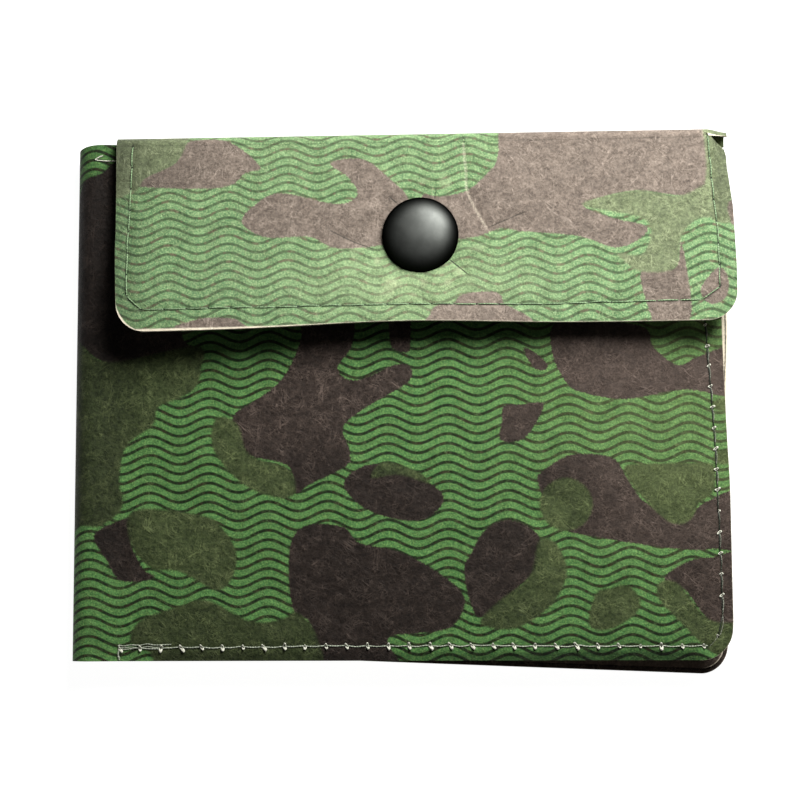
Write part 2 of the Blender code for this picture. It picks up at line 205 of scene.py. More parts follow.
# Waves: crest's place, length, height, distance between lines and the height of a line's middle
FRONT_WAVES = (-41.43, 9.782, 0.788, 1.549, 0.021)
FLAP_WAVES = (-38.12, 9.80, 0.757, 1.462, 0.580)
# How far the flap's print is out of true, in lines: slope, bow, spread from the middle row and the
# spread's fading sideways
FLAP_STRAY = (-0.122, -0.249, 0.207, -0.469)
FLAP_MIDDLE = (50.0, 28.0, 16.0)  # half width, middle row and half height

# Creases: points, depth and how pale the print has worn along them, or below 0 how dark the painted shade
# along them is
FLAP_CREASES = [
    (blob(11, 44, 10.5, 42, 10.8, 38, 11, 34.5, 12.5, 31, 14.5, 27.5), 0.30, 0.42),
    (blob(-12, 28.3, -7.5, 26, -3.5, 24.6), 0.22, -0.7),
    (blob(7.5, 23.4, 11.5, 20), 0.30, -1.0),
    (blob(5.6, 32.5, 6, 35.4), 0.16, -0.6),
    (blob(-2.2, 34, 0, 32), 0.16, -0.8),
    (blob(14, 28, 17, 29.3, 21, 31), 0.16, -0.6),
    (blob(10.2, 44.5, 10.8, 41.5), 0.1, -0.8),
    (blob(3, 19.5, 3.6, 16.5, 3.2, 13), 0.12, -0.3),
    (blob(-6, 20, -10, 16.5, -11, 13), 0.14, -0.25),
    (blob(-47, 42.9, 0, 42.8, 51, 42.9), 0.07, -0.25),
]


def smooth_curve(points, closed, steps=6):
    """A Catmull-Rom curve through the points."""
    p = np.array(points, float)
    count = len(p)
    made = []
    for i in range(count if closed else count - 1):
        if closed:
            a, b, c, d = p[i - 1], p[i], p[(i + 1) % count], p[(i + 2) % count]
        else:
            a, b, c, d = p[max(i - 1, 0)], p[i], p[i + 1], p[min(i + 2, count - 1)]
        for t in np.arange(steps) / steps:
            bend = (2 * a - 5 * b + 4 * c - d) * t * t + (3 * b - a - 3 * c + d) * t**3
            made.append((2 * b + (c - a) * t + bend) / 2)
    if not closed:
        made.append(p[-1])
    return np.array(made)


def to_segment(x, y, a, b):
    """Distance to the segment from a to b, share along it, and the side: positive on its left."""
    d = b - a
    along = ((x - a[0]) * d[0] + (y - a[1]) * d[1]) / max(d @ d, 1e-12)
    t = np.clip(along, 0, 1)
    distance = np.hypot(x - a[0] - t * d[0], y - a[1] - t * d[1])
    side = np.where(d[0] * (y - a[1]) - d[1] * (x - a[0]) >= 0, 1.0, -1.0)
    return distance, t, side


def outline_distance(x, y, outline):
    """Distance from a closed outline, negative inside it."""
    curve = smooth_curve(outline, True)
    result = np.full(x.shape, FAR)
    low, high = curve.min(0) - FAR, curve.max(0) + FAR
    near = (x > low[0]) & (x < high[0]) & (y > low[1]) & (y < high[1])
    px, py = x[near], y[near]
    best = np.full(px.shape, FAR)
    inside = np.zeros(px.shape, bool)
    for i in range(len(curve)):
        a, b = curve[i - 1], curve[i]
        best = np.minimum(best, to_segment(px, py, a, b)[0])
        if a[1] != b[1]:
            crosses = ((a[1] > py) != (b[1] > py)) & (px < a[0] + (py - a[1]) * (b[0] - a[0]) / (b[1] - a[1]))
            inside ^= crosses
    result[near] = np.where(inside, -best, best)
    return result


def print_distance(x, y, outlines):
    """Distance from the nearest of the print's patches, negative inside one."""
    result = np.full(x.shape, FAR)
    for outline in outlines:
        result = np.minimum(result, outline_distance(x, y, outline))
    return result


def smoothstep(low, high, value):
    """0 below low, 1 above high, and a soft step between them."""
    t = np.clip((value - low) / (high - low), 0, 1)
    return t * t * (3 - 2 * t)


def fade(low, high, value):
    """1 below low, 0 above high, and a soft step between them."""
    return 1 - smoothstep(low, high, value)


def lattice(x, y, cell, seed, count=97, middle=40):
    """Smooth random heights between -1 and 1 that change over about one cell."""
    grid = np.random.default_rng(seed).uniform(-1, 1, (count, count))
    gx, gy = np.asarray(x) / cell + middle, np.asarray(y) / cell + middle
    ix, iy = np.floor(gx).astype(int), np.floor(gy).astype(int)
    fx, fy = smoothstep(0, 1, gx - ix), smoothstep(0, 1, gy - iy)
    ix, iy, jx, jy = ix % count, iy % count, (ix + 1) % count, (iy + 1) % count
    low = grid[ix, iy] * (1 - fx) + grid[jx, iy] * fx
    high = grid[ix, jy] * (1 - fx) + grid[jx, jy] * fx
    return low * (1 - fy) + high * fy


def path_lengths(path):
    """How far along a path each of its points is."""
    return np.r_[0, np.cumsum(np.linalg.norm(np.diff(path, axis=0), axis=1))]


def to_path(x, y, path):
    """Distance to an open path, how far along it the nearest point is, and the side."""
    lengths = path_lengths(path)
    best, along, side = np.full(x.shape, FAR), np.zeros(x.shape), np.ones(x.shape)
    for a, b, start, end in zip(path[:-1], path[1:], lengths[:-1], lengths[1:]):
        distance, t, here = to_segment(x, y, a, b)
        closer = distance < best
        best = np.where(closer, distance, best)
        along = np.where(closer, start + t * (end - start), along)
        side = np.where(closer, here, side)
    return best, along, side


def crease_field(x, y, creases):
    """Signed distance to the nearest crease, how much of a crease there is, and the relief it gives."""
    nearest, signed = np.full(x.shape, FAR), np.full(x.shape, FAR)
    strength, relief = np.zeros(x.shape), np.zeros(x.shape)
    for points, depth, wear_and_shade in creases:
        curve = smooth_curve(points, False)
        best, along, side = to_path(x, y, curve)
        ends = smoothstep(0, 1.2, along) * smoothstep(0, 1.2, path_lengths(curve)[-1] - along)
        relief -= depth * ends * np.exp(-best / 0.55) * np.where(side > 0, 1.0, 0.8)
        here = best < nearest
        nearest = np.where(here, best, nearest)
        signed = np.where(here, best * side, signed)
        strength = np.where(here, wear_and_shade * ends * fade(0.9, 1.4, best), strength)
    return signed, strength, relief


# --- seams


def walk(path, pitch, start=0.0):
    """Points on a path at equal steps, and the path's direction at each."""
    steps = np.diff(path, axis=0)
    lengths = path_lengths(path)
    at = np.arange(start, lengths[-1], pitch)
    x, y = np.interp(at, lengths, path[:, 0]), np.interp(at, lengths, path[:, 1])
    index = np.clip(np.searchsorted(lengths, at, side="right") - 1, 0, len(steps) - 1)
    along = steps[index] / np.hypot(*steps[index].T)[:, None]
    return np.stack([x, y], 1), along


def rounded_path(corners, steps=10):
    """An open path through (x, y, radius) corners, with an arc at each radius."""
    points = []
    for i, (x, y, radius) in enumerate(corners):
        here = Vector((x, y))
        if radius == 0:
            points.append(here)
            continue
        before = (Vector(corners[i - 1][:2]) - here).normalized()
        after = (Vector(corners[i + 1][:2]) - here).normalized()
        half = before.angle(after) / 2
        centre = here + (before + after).normalized() * (radius / math.sin(half))
        start = here + before * (radius / math.tan(half)) - centre
        sign = 1 if before.cross(after) < 0 else -1
        for step in range(steps + 1):
            angle = sign * (math.pi - 2 * half) * step / steps
            points.append(centre + Matrix.Rotation(angle, 2) @ start)
    return np.array([tuple(p) for p in points])


STITCH = 3.37
FLAP_STITCH = 3.65
RIGHT_START, FLAP_START = 2.2, 0.4  # the first holes
BOTTOM_SEAM = np.array(blob(-46.2, -40.0, -20, -39.7, 10, -39.6, 48.9, -39.8))
RIGHT_SEAM = np.array(
    blob(48.9, -39.8, 50.9, -37.8, 51.3, -34.5, 50.75, -8.5, 50.0, 4, 49.5, 12, 49.0, 40)
)
FLAP_SEAM = np.array(
    blob(
        -44.2, 43.3, -45.2, 17.8, -43.4, 15.2, -17, 15.4, 0, 15.65, 22, 15.35, 49.4, 15.8,
        51.8, 18.0, 51.4, 28, 50.7, 34.5, 50.2, 43.3,
    )
)
BACK_SEAM = rounded_path([(-46.8, -39.6, 0), (50.4, -42.2, 2.4), (50.7, 40, 0)])
BOTTOM_HOLES = walk(BOTTOM_SEAM, STITCH)
RIGHT_HOLES = walk(RIGHT_SEAM, STITCH, RIGHT_START)
FLAP_HOLES = walk(FLAP_SEAM, FLAP_STITCH, FLAP_START)


def seam_place(x, y, path, pitch, start):
    """Distance from a seam, and the place along it, which is a whole number at each hole."""
    line, along, _ = to_path(x, y, path)
    return line, np.where(line < FAR, (along - start) / pitch, 0)


def seam_relief(x, y, path, holes, depth=0.10, dent=0.16):
    """The groove that a seam presses into a sheet, with a dent at each hole."""
    line = to_path(x, y, path)[0]
    pits = np.full(x.shape, FAR)
    for hole in holes[0]:
        pits = np.minimum(pits, np.hypot(x - hole[0], y - hole[1]))
    return -depth * np.exp(-((line / 0.8) ** 2)) - dent * np.exp(-((pits / 0.45) ** 2))


# --- shapes of the sheets


def front_relief(x, y):
    """Height of the front sheet over its level."""
    relief = 0.22 * lattice(x, y, 23, 3) + 0.10 * lattice(x, y, 9, 4) + 0.05 * lattice(x, y, 3.2, 5)
    relief += 0.012 * lattice(x, y, 1.3, 6)
    middle = smoothstep(0, 30, x + 50) * smoothstep(0, 26, FRONT_HIGH[0] - x) * smoothstep(0, 34, y + 42)
    relief += 0.9 * middle - 0.35
    relief -= 0.25 * fade(0, 2.6, FRONT_HIGH[0] - x) + 0.32 * fade(0, 2.8, y - FRONT_LOW[1])
    for path, holes in ((BOTTOM_SEAM, BOTTOM_HOLES), (RIGHT_SEAM, RIGHT_HOLES)):
        relief += seam_relief(x, y, path, holes)
    return relief


def bend_round(run, radius):
    """Where a sheet goes past the start of a bend: how far on, and how far down."""
    angle = np.clip(run / radius, 0, QUARTER)
    past = np.maximum(run - radius * QUARTER, 0)
    return radius * np.sin(angle) + np.minimum(run, 0), radius * (1 - np.cos(angle)) + past


def front_place(u, v):
    """The front sheet and the spine's upper half. u goes on past the bend as if the sheet were flat."""
    on, down = bend_round(SPINE_FOLD_X - u, SPINE_R)
    flat = smoothstep(0, 6, u - SPINE_FOLD_X)
    return np.stack([SPINE_FOLD_X - on, v, FRONT_TOP - down + flat * front_relief(u, v)], -1)


def back_place(u, v):
    """The back sheet and the spine's lower half, printed side down."""
    on, down = bend_round(SPINE_FOLD_X - u, SPINE_R)
    return np.stack([SPINE_FOLD_X - on, v, down], -1)


def snap_pull(x, y):
    """Relief that the snap gives the flap: a dimple, and puckers that run out from the cap."""
    dx, dy = x - SNAP_X, y - SNAP_Y
    r = np.hypot(dx, dy)
    turn = np.arctan2(dy, dx)
    rays = 0.5 * np.cos(5 * turn + 0.7) + 0.35 * np.cos(8 * turn + 2.1) + 0.3 * np.cos(13 * turn + 4.0)
    reach = smoothstep(4.5, 8, r) * np.exp(-np.maximum(r - 7, 0) / 4.5)
    return 0.16 * rays * reach - 0.35 * np.exp(-((r / 9.0) ** 2))


def flap_relief(x, y):
    """Height of the flap over its slope. It lies flat under the cap."""
    r = np.hypot(x - SNAP_X, y - SNAP_Y)
    relief = 0.20 * lattice(x, y, 19, 13) + 0.08 * lattice(x, y, 7.5, 14)
    relief = relief * smoothstep(2, 14, r) + 0.05 * lattice(x, y, 2.8, 15) + 0.016 * lattice(x, y, 1.2, 16)
    relief += snap_pull(x, y) + crease_field(x, y, FLAP_CREASES)[2]
    relief += seam_relief(x, y, FLAP_SEAM, FLAP_HOLES, 0.09, 0.20)
    return relief * smoothstep(-1.5, 1.5, FLAP_START_Y - y)


def curl(u, v):
    """How far the flap's lower left part stands off from its slope. The snap holds it down."""
    free = fade(12, 34, v)
    return 2.3 * fade(-44, 44, u) * free * smoothstep(4, 14, np.hypot(u - SNAP_X, v - SNAP_Y))


def crown_drop(u, y):
    """How far the fold's end at the free edge has slipped down."""
    return 0.65 * smoothstep(50.0, 53.4, u) * smoothstep(36, 43, y)


def flap_place(u, v):
    """The flap's outer skin and the fold's upper half. v goes on past the bend."""
    run = v - FLAP_START_Y
    back = np.minimum(run, 0)
    turn = QUARTER - FLAP_LEAN - np.clip(run / FOLD_R, 0, QUARTER - FLAP_LEAN)
    y = FOLD_START_Y + FOLD_R * np.cos(turn) + back * FLAP_STRETCH
    rise = FLAP_START_Z - FLAP_RISE * back - FLAP_MID_Z
    off = curl(u, v)
    x = u * (1 - FLAP_TAPER * rise) + FLAP_SLIP * rise + CURL_ASIDE * off
    z = FOLD_MID_Z + FOLD_R * np.sin(turn) - FLAP_RISE * back + flap_relief(u, v) + off
    return np.stack([x, y - crown_drop(u, y) - CURL_ALONG * off, z], -1)


def wall_place(u, v):
    """The coin pocket's rear wall and the fold's lower half, printed side down."""
    on, down = bend_round(v - FOLD_START_Y, FOLD_R)
    y = FOLD_START_Y + on
    return np.stack([u, y - crown_drop(u, y), WALL_LOW[2] + down], -1)


# --- meshes


def linked(name, data):
    """A new object in the scene."""
    made = bpy.data.objects.new(name, data)
    bpy.context.scene.collection.objects.link(made)
    return made


def new_mesh(name, verts, faces, slots=None):
    """An object from millimetre points; slots gives each face's material slot."""
    mesh = bpy.data.meshes.new(name)
    mesh.from_pydata((np.asarray(verts) * MM).tolist(), [], [list(map(int, f)) for f in faces])
    if slots is not None:
        mesh.polygons.foreach_set("material_index", np.asarray(slots, np.int32))
    mesh.shade_smooth()
    mesh.set_sharp_from_angle(angle=math.radians(50))
    return linked(name, mesh)


def grid_faces(rows, columns, first=0):
    """Corner numbers of each face of a grid of points."""
    j, i = np.mgrid[0 : rows - 1, 0 : columns - 1]
    corner = (j * columns + i).ravel() + first
    return np.stack([corner, corner + 1, corner + columns + 1, corner + columns], 1)


def shell(name, u, v, place, looks, side=1, thickness=SHEET, attributes=None):
    """A thin closed sheet over grids of flat coordinates. side is 1 if its printed face looks along u x v."""
    rows, columns = u.shape
    outer = place(u, v)
    du, dv = np.gradient(outer, axis=1), np.gradient(outer, axis=0)
    normal = np.cross(du, dv) * side
    normal /= np.maximum(np.linalg.norm(normal, axis=-1, keepdims=True), 1e-12)
    inner = outer - normal * thickness
    count = rows * columns
    verts = np.concatenate([outer.reshape(-1, 3), inner.reshape(-1, 3)])
    top = grid_faces(rows, columns)
    under = grid_faces(rows, columns, count)[:, ::-1]
    index = np.arange(count).reshape(rows, columns)
    border = np.concatenate([index[0, :-1], index[:-1, -1], index[-1, :0:-1], index[:0:-1, 0]])
    ahead = np.roll(border, -1)
    rim = np.stack([border, border + count, ahead + count, ahead], 1)
    faces = np.concatenate([top, under, rim])
    if side < 0:
        faces = faces[:, ::-1]
    slots = np.concatenate([np.zeros(len(top)), np.ones(len(under)), np.full(len(rim), 2)])
    obj = new_mesh(name, verts, faces, slots)
    flat = np.stack([u, v, np.zeros(u.shape)], -1).reshape(-1, 3)
    set_attribute(obj, "flat", np.concatenate([flat, flat]), "FLOAT_VECTOR")
    for key, values in (attributes or {}).items():
        kind = "FLOAT_VECTOR" if values.ndim == 3 else "FLOAT"
        set_attribute(obj, key, np.tile(values.ravel(), 2), kind)
    for look in looks:
        obj.data.materials.append(look)
    return obj


def set_attribute(obj, name, values, kind):
    """One value, or three, for each of a mesh's points."""
    made = obj.data.attributes.new(name, kind, "POINT")
    made.data.foreach_set("vector" if kind == "FLOAT_VECTOR" else "value", values.astype(np.float32).ravel())


def corner_rows(low, high, pitch, radius, top_radius=0.0):
    """Row places from low to high, close together where a corner's arc is flat."""
    arc = low + radius * (1 - np.cos(np.linspace(0, QUARTER, 20)))
    top = high - top_radius
    rest = np.linspace(low + radius, top, max(2, round((top - low - radius) / pitch)))
    rows = np.concatenate([arc, rest[1:]])
    if top_radius:
        rows = np.concatenate([rows, top + top_radius * np.sin(np.linspace(0, QUARTER, 12))[1:]])
    return rows


def corner_in(y, low, radius):
    """How far a rounded corner draws the side edge in at height y."""
    t = np.clip((low + radius - y) / radius, 0, 1)
    return radius * (1 - np.sqrt(1 - t * t))


def corners_in(y, low, high, radius):
    """The same for a corner below and a smaller one at the top."""
    return corner_in(y, low, radius) + corner_in(-y, -high, TOP_CORNER_R)


def across(left, right, pitch, fixed):
    """A grid of x between edges that are given for each row. Its columns are straight within fixed."""
    low, high = fixed
    middle = np.linspace(low, high, max(2, round((high - low) / pitch)) + 1)
    parts = [np.broadcast_to(middle, (len(left), len(middle)))]
    if low > left.min() + 1e-6:
        count = max(3, round((low - left.min()) / pitch))
        share = np.linspace(0, 1, count, endpoint=False)[None, :]
        parts.insert(0, left[:, None] + (low - left[:, None]) * share)
    share = np.linspace(0, 1, max(3, round((right.max() - high) / pitch)) + 1)[None, 1:]
    parts.append(high + (right[:, None] - high) * share)
    return np.concatenate(parts, 1)


# --- materials


def srgb(red, green, blue):
    """A linear colour from 0-255 screen values."""
    shares = (red / 255, green / 255, blue / 255)
    return tuple(((c + 0.055) / 1.055) ** 2.4 if c > 0.04 else c / 12.92 for c in shares)


class Graph:
    """A material's nodes, written as expressions."""

    def __init__(self, name, roughness, specular, metallic=0.0):
        self.made = bpy.data.materials.new(name)
        self.made.use_nodes = True
        self.nodes = self.made.node_tree.nodes
        self.links = self.made.node_tree.links
        self.shader = self.nodes["Principled BSDF"]
        self.shader.inputs["Roughness"].default_value = roughness
        self.shader.inputs["Specular IOR Level"].default_value = specular
        self.shader.inputs["Metallic"].default_value = metallic

    def put(self, socket, value):
        if isinstance(value, bpy.types.NodeSocket):
            self.links.new(value, socket)
        elif isinstance(value, tuple) and len(value) == 3 and socket.type == "RGBA":
            socket.default_value = (*value, 1.0)
        else:
            socket.default_value = value

    def math(self, operation, a, b=0.0, c=0.0):
        node = self.nodes.new("ShaderNodeMath")
        node.operation = operation
        for socket, value in zip(node.inputs, (a, b, c)):
            self.put(socket, value)
        return node.outputs[0]

    def plus(self, a, b):
        return self.math("ADD", a, b)

    def minus(self, a, b):
        return self.math("SUBTRACT", a, b)

    def times(self, a, b):
        return self.math("MULTIPLY", a, b)

    def parts(self, vector):
        """A vector's three numbers."""
        node = self.nodes.new("ShaderNodeSeparateXYZ")
        self.put(node.inputs[0], vector)
        return node.outputs

    def vector(self, operation, a, b):
        node = self.nodes.new("ShaderNodeVectorMath")
        node.operation = operation
        self.put(node.inputs[0], a)
        self.put(node.inputs[1], b)
        return node.outputs[0]

    def ramp(self, value, low, high, start=0.0, end=1.0):
        """A soft step from start to end while the value goes from low to high."""
        node = self.nodes.new("ShaderNodeMapRange")
        node.interpolation_type = "SMOOTHSTEP"
        given = {"Value": value, "From Min": low, "From Max": high, "To Min": start, "To Max": end}
        for key in given:
            self.put(node.inputs[key], given[key])
        return node.outputs["Result"]

    def mix(self, share, a, b, blend="MIX"):
        node = self.nodes.new("ShaderNodeMix")
        node.data_type = "RGBA"
        node.blend_type = blend
        self.put(node.inputs["Factor"], share)
        self.put(node.inputs[6], a)
        self.put(node.inputs[7], b)
        return node.outputs[2]

    def noise(self, where, scale, detail, roughness=0.5, distortion=0.0):
        node = self.nodes.new("ShaderNodeTexNoise")
        keys = ("Vector", "Scale", "Detail", "Roughness", "Distortion")
        for key, given in zip(keys, (where, scale, detail, roughness, distortion)):
            self.put(node.inputs[key], given)
        return node.outputs["Fac"]

    def shifted(self, where, x, y):
        """Coordinates for a noise that is to differ from the others."""
        return self.vector("ADD", where, (x, y, 0.0))

    def mapped(self, where, angle, scale, shift):
        turn = self.nodes.new("ShaderNodeMapping")
        self.put(turn.inputs["Vector"], where)
        turn.inputs["Rotation"].default_value = (0.0, 0.0, math.radians(angle))
        turn.inputs["Location"].default_value = shift
        return self.vector("MULTIPLY", turn.outputs[0], scale)

    def attribute(self, name, output="Fac"):
        node = self.nodes.new("ShaderNodeAttribute")
        node.attribute_name = name
        return node.outputs[output]

    def position(self):
        """Rest position in millimetres, from the object's own coordinates."""
        node = self.nodes.new("ShaderNodeTexCoord")
        return self.vector("MULTIPLY", node.outputs["Object"], (1000.0, 1000.0, 1000.0))

    def bump(self, height, distance, strength):
        node = self.nodes.new("ShaderNodeBump")
        self.put(node.inputs["Height"], height)
        node.inputs["Distance"].default_value = distance * MM
        node.inputs["Strength"].default_value = strength
        self.links.new(node.outputs[0], self.shader.inputs["Normal"])

    def colour(self, value):
        self.put(self.shader.inputs["Base Color"], value)


def fibre_net(g, where, angles, length, width, thin):
    """Fine pale strands: thin ridges of stretched noise, turned to each angle."""
    net = None
    for k, angle in enumerate(angles):
        place = g.mapped(where, angle, (1 / length, 1 / width, 1.0), (17.0 * k, 9.0 * k, 0.0))
        ridge = g.math("ABSOLUTE", g.minus(g.noise(place, 1.0, 1.5, 0.5, 0.3), 0.5))
        strand = g.ramp(ridge, 0.0, thin, 1.0, 0.0)
        net = strand if net is None else g.math("MAXIMUM", net, strand)
    return net


def wave_lines(g, width, softness):
    """1 on the wavy lines of the print, 0 between them."""
    count, pitch, _ = g.parts(g.attribute("wave", "Vector"))
    part = g.math("FRACT", count)
    off = g.times(g.math("MINIMUM", part, g.minus(1.0, part)), pitch)
    half = g.times(width, 0.5)
    return g.ramp(off, g.minus(half, softness), g.plus(half, softness), 1.0, 0.0)


def stitch_marks(g, pitch, long, short):
    """1 in the slits that the needle left along a seam, and how near the seam's line is."""
    line, place, _ = g.parts(g.attribute("seam", "Vector"))
    part = g.minus(place, g.math("ROUND", place))
    along = g.math("DIVIDE", g.times(part, pitch), long)
    aside = g.math("DIVIDE", line, short)
    size = g.math("SQRT", g.plus(g.times(along, along), g.times(aside, aside)))
    return g.ramp(size, 0.6, 1.25, 1.0, 0.0), g.ramp(line, 0.05, 0.32, 1.0, 0.0)


FRONT_INKS = {
    "green": (srgb(82, 128, 72), srgb(62, 108, 58), srgb(104, 142, 78)),
    "line": (srgb(12, 24, 9), srgb(34, 24, 14)),
    "brown": (srgb(29, 22, 19), srgb(51, 42, 37)),
    "brown_fibre": srgb(112, 98, 90),
    "olive": (srgb(34, 44, 23), srgb(63, 74, 44)),
    "olive_fibre": srgb(118, 130, 86),
}
# painted sheen: the flap's inks are paler, hazier copies of the front's inks
FLAP_INKS_WITH_SHEEN = {
    "green": (srgb(110, 146, 98), srgb(86, 126, 82), srgb(142, 168, 118)),
    "line": (srgb(56, 80, 48), srgb(88, 80, 60)),
    "brown": (srgb(83, 72, 64), srgb(118, 106, 96)),
    "brown_fibre": srgb(166, 152, 140),
    "olive": (srgb(77, 86, 60), srgb(112, 124, 90)),
    "olive_fibre": srgb(164, 174, 136),
}
CREAM = srgb(214, 204, 184)


def strands_in(g, flat):
    """The felted fibres that show in every ink: many fine ones and a few long ones, in patches."""
    fine = fibre_net(g, flat, (12, 63, 118, 160), 3.4, 0.42, 0.035)
    bold = fibre_net(g, flat, (38, 96, 145), 8.5, 1.1, 0.015)
    patchy = g.ramp(g.noise(g.shifted(flat, 3, 90), 0.45, 2.0), 0.42, 0.62)
    fine = g.times(fine, g.math("MULTIPLY_ADD", patchy, 0.4, 0.2))
    bold = g.times(bold, g.math("MULTIPLY_ADD", patchy, 0.7, 0.25))
    return g.math("MAXIMUM", fine, bold)


def ink_colour(g, flat, inks, line_width, strands, speck, edge):
    """Wavy green print under brown and olive patches, rubbed down to the fibres in places; the same paler mix
    also paints sheen.
    """
    cloud = g.noise(flat, 0.35, 3.0, 0.6)
    mottle = g.noise(g.shifted(flat, 31, 7), 1.1, 5.0, 0.72)
    wear_and_sheen = g.math("MAXIMUM", g.plus(g.attribute("wear_and_sheen"), g.times(g.minus(cloud, 0.5), 0.2)), 0.0)

    green = g.mix(g.ramp(mottle, 0.36, 0.60), *inks["green"][:2])
    green = g.mix(g.ramp(speck, 0.47, 0.62), green, inks["green"][2])
    lines = wave_lines(g, g.math("MULTIPLY_ADD", speck, 0.30, line_width - 0.15), 0.10)
    line = g.mix(g.ramp(g.noise(g.shifted(flat, 50, 0), 0.8, 2.0), 0.50, 0.66), *inks["line"])
    green = g.mix(g.times(lines, g.ramp(mottle, 0.30, 0.52, 0.72, 0.98)), green, line)
    green = g.mix(g.times(strands, 0.22), green, inks["olive_fibre"])
    colour = g.mix(wear_and_sheen, green, inks["olive_fibre"])
    for name, share, soft in (("brown", 0.62, 0.12), ("olive", 0.6, 0.30)):
        fibre = inks[name + "_fibre"]
        ink = g.mix(g.times(strands, share), g.mix(g.ramp(mottle, 0.35, 0.66), *inks[name]), fibre)
        patch = g.ramp(g.plus(g.attribute(name), edge), -soft, soft, 1.0, 0.0)
        colour = g.mix(patch, colour, g.mix(wear_and_sheen, ink, fibre))
    dirt = g.mix(g.ramp(cloud, 0.3, 0.7), (0.55, 0.55, 0.55), (1.0, 1.0, 1.0))
    return g.mix(0.4, colour, dirt, "MULTIPLY")


def with_wear_and_shade(g, colour, edge, grain, stitch, slit):
    """The colour where creases and edges have lost their ink, and painted shade where cracks and a seam cut
    in: dark crease lines, a darker seam groove and near-black needle slits.
    """
    crease_distance = g.math("ABSOLUTE", g.plus(g.attribute("crease"), g.times(edge, 0.3)))
    crease = g.attribute("crease_on")
    worn = g.times(g.ramp(crease_distance, 0.05, 0.42, 1.0, 0.0), g.math("MAXIMUM", crease, 0.0))
    worn = g.times(worn, g.ramp(grain, 0.36, 0.60, 0.05, 0.75))
    rim = g.ramp(g.plus(g.attribute("rim"), g.times(edge, 0.3)), -0.16, 0.16, 1.0, 0.0)
    colour = g.mix(g.math("MAXIMUM", worn, rim), colour, CREAM)
    # painted shade: near-black lines along the creases whose value is below 0
    crease_shade = g.times(g.ramp(crease_distance, 0.03, 0.15, 0.95, 0.0), g.math("MAXIMUM", g.times(crease, -1.0), 0.0))
    colour = g.mix(crease_shade, colour, (0.006, 0.008, 0.005))
    # painted shade: the seam's groove is darkened and the needle's slits are near black
    slits, groove = stitch_marks(g, stitch, *slit)
    colour = g.mix(g.times(groove, 0.3), colour, (0.006, 0.010, 0.006))
    return g.mix(g.times(slits, 0.93), colour, (0.004, 0.006, 0.004))


def printed_sheet(name, inks, line_width, stitch, slit, specular):
    """Printed, worn and stitched sheet of felted fibres."""
    g = Graph(name, 0.58, specular)
    flat = g.attribute("flat", "Vector")
    strands = strands_in(g, flat)
    speck = g.noise(g.shifted(flat, 5, 61), 3.6, 4.0, 0.65)
    grain = g.noise(g.shifted(flat, 9, 9), 2.4, 6.0, 0.8)
    edge = g.times(g.minus(speck, 0.5), 0.9)
    colour = ink_colour(g, flat, inks, line_width, strands, speck, edge)
    grit = g.mix(g.ramp(grain, 0.32, 0.66), (0.40, 0.40, 0.40), (1.32, 1.32, 1.32))
    colour = g.mix(0.6, colour, grit, "MULTIPLY")
    # painted shade: the shade attribute darkens the colour to as little as 0.3 of itself
    painted_shade = g.mix(g.attribute("shade"), (0.3, 0.3, 0.3), (1.0, 1.0, 1.0))
    colour = g.mix(1.0, colour, painted_shade, "MULTIPLY")
    g.colour(with_wear_and_shade(g, colour, edge, grain, stitch, slit))
    height = g.plus(g.times(strands, 0.6), g.times(grain, 0.8))
    height = g.plus(height, g.times(g.noise(flat, 0.9, 4.0, 0.6, 0.4), 1.4))
    g.bump(height, 0.13, 0.9)
    return g.made


def plain_sheet(name, colour, shade=0.8):
    """The sheet's unprinted side: off-white felted fibres."""
    g = Graph(name, 0.62, 0.3)
    where = g.position()
    fibres = fibre_net(g, where, (20, 75, 130), 3.6, 0.45, 0.04)
    cloud = g.noise(where, 0.6, 4.0, 0.65)
    darker = tuple(c * shade for c in colour)
    base = g.mix(g.ramp(cloud, 0.3, 0.7), darker, colour)
    g.colour(g.mix(g.times(fibres, 0.35), base, tuple(min(1.0, c * 1.18) for c in colour)))
    g.bump(g.plus(g.times(fibres, 0.5), cloud), 0.07, 0.7)
    return g.made


def thread_look(name, colour, dark):
    """Twisted yarn with pale and dark filaments."""
    g = Graph(name, 0.55, 0.3)
    where = g.position()
    strands = g.noise(where, 6.0, 3.0, 0.7)
    g.colour(g.mix(g.ramp(strands, 0.35, 0.65), dark, colour))
    g.bump(strands, 0.04, 0.8)
    return g.made


def metal_look(name, colour, roughness, grazing=1.0, rim=1.0):
    """Metal with a faint grain. A low grazing value keeps the edge reflections dark, and a low rim value
    paints shade on a round piece's colour towards its edge.
    """
    g = Graph(name, roughness, 0.5, 1.0)
    g.shader.inputs["Specular Tint"].default_value = (grazing, grazing, grazing, 1.0)
    where = g.position()
    grain = g.noise(where, 9.0, 3.0, 0.6)
    smear = g.noise(where, 0.5, 3.0, 0.5)
    base = g.mix(g.ramp(smear, 0.3, 0.7), tuple(c * 0.8 for c in colour), colour)
    x, y, _ = g.parts(g.vector("SUBTRACT", where, (SNAP_X, SNAP_Y, 0.0)))
    radius = g.math("SQRT", g.plus(g.times(x, x), g.times(y, y)))
    # painted shade: the colour darkens towards the snap's rim, down to rim times the colour
    edge = g.ramp(radius, 3.3, CAP_R, 1.0, 0.0)
    g.colour(g.mix(edge, tuple(c * rim for c in colour), base))
    g.put(g.shader.inputs["Roughness"], g.ramp(grain, 0.2, 0.8, roughness - 0.04, roughness + 0.06))
    g.bump(grain, 0.01, 0.4)
    return g.made


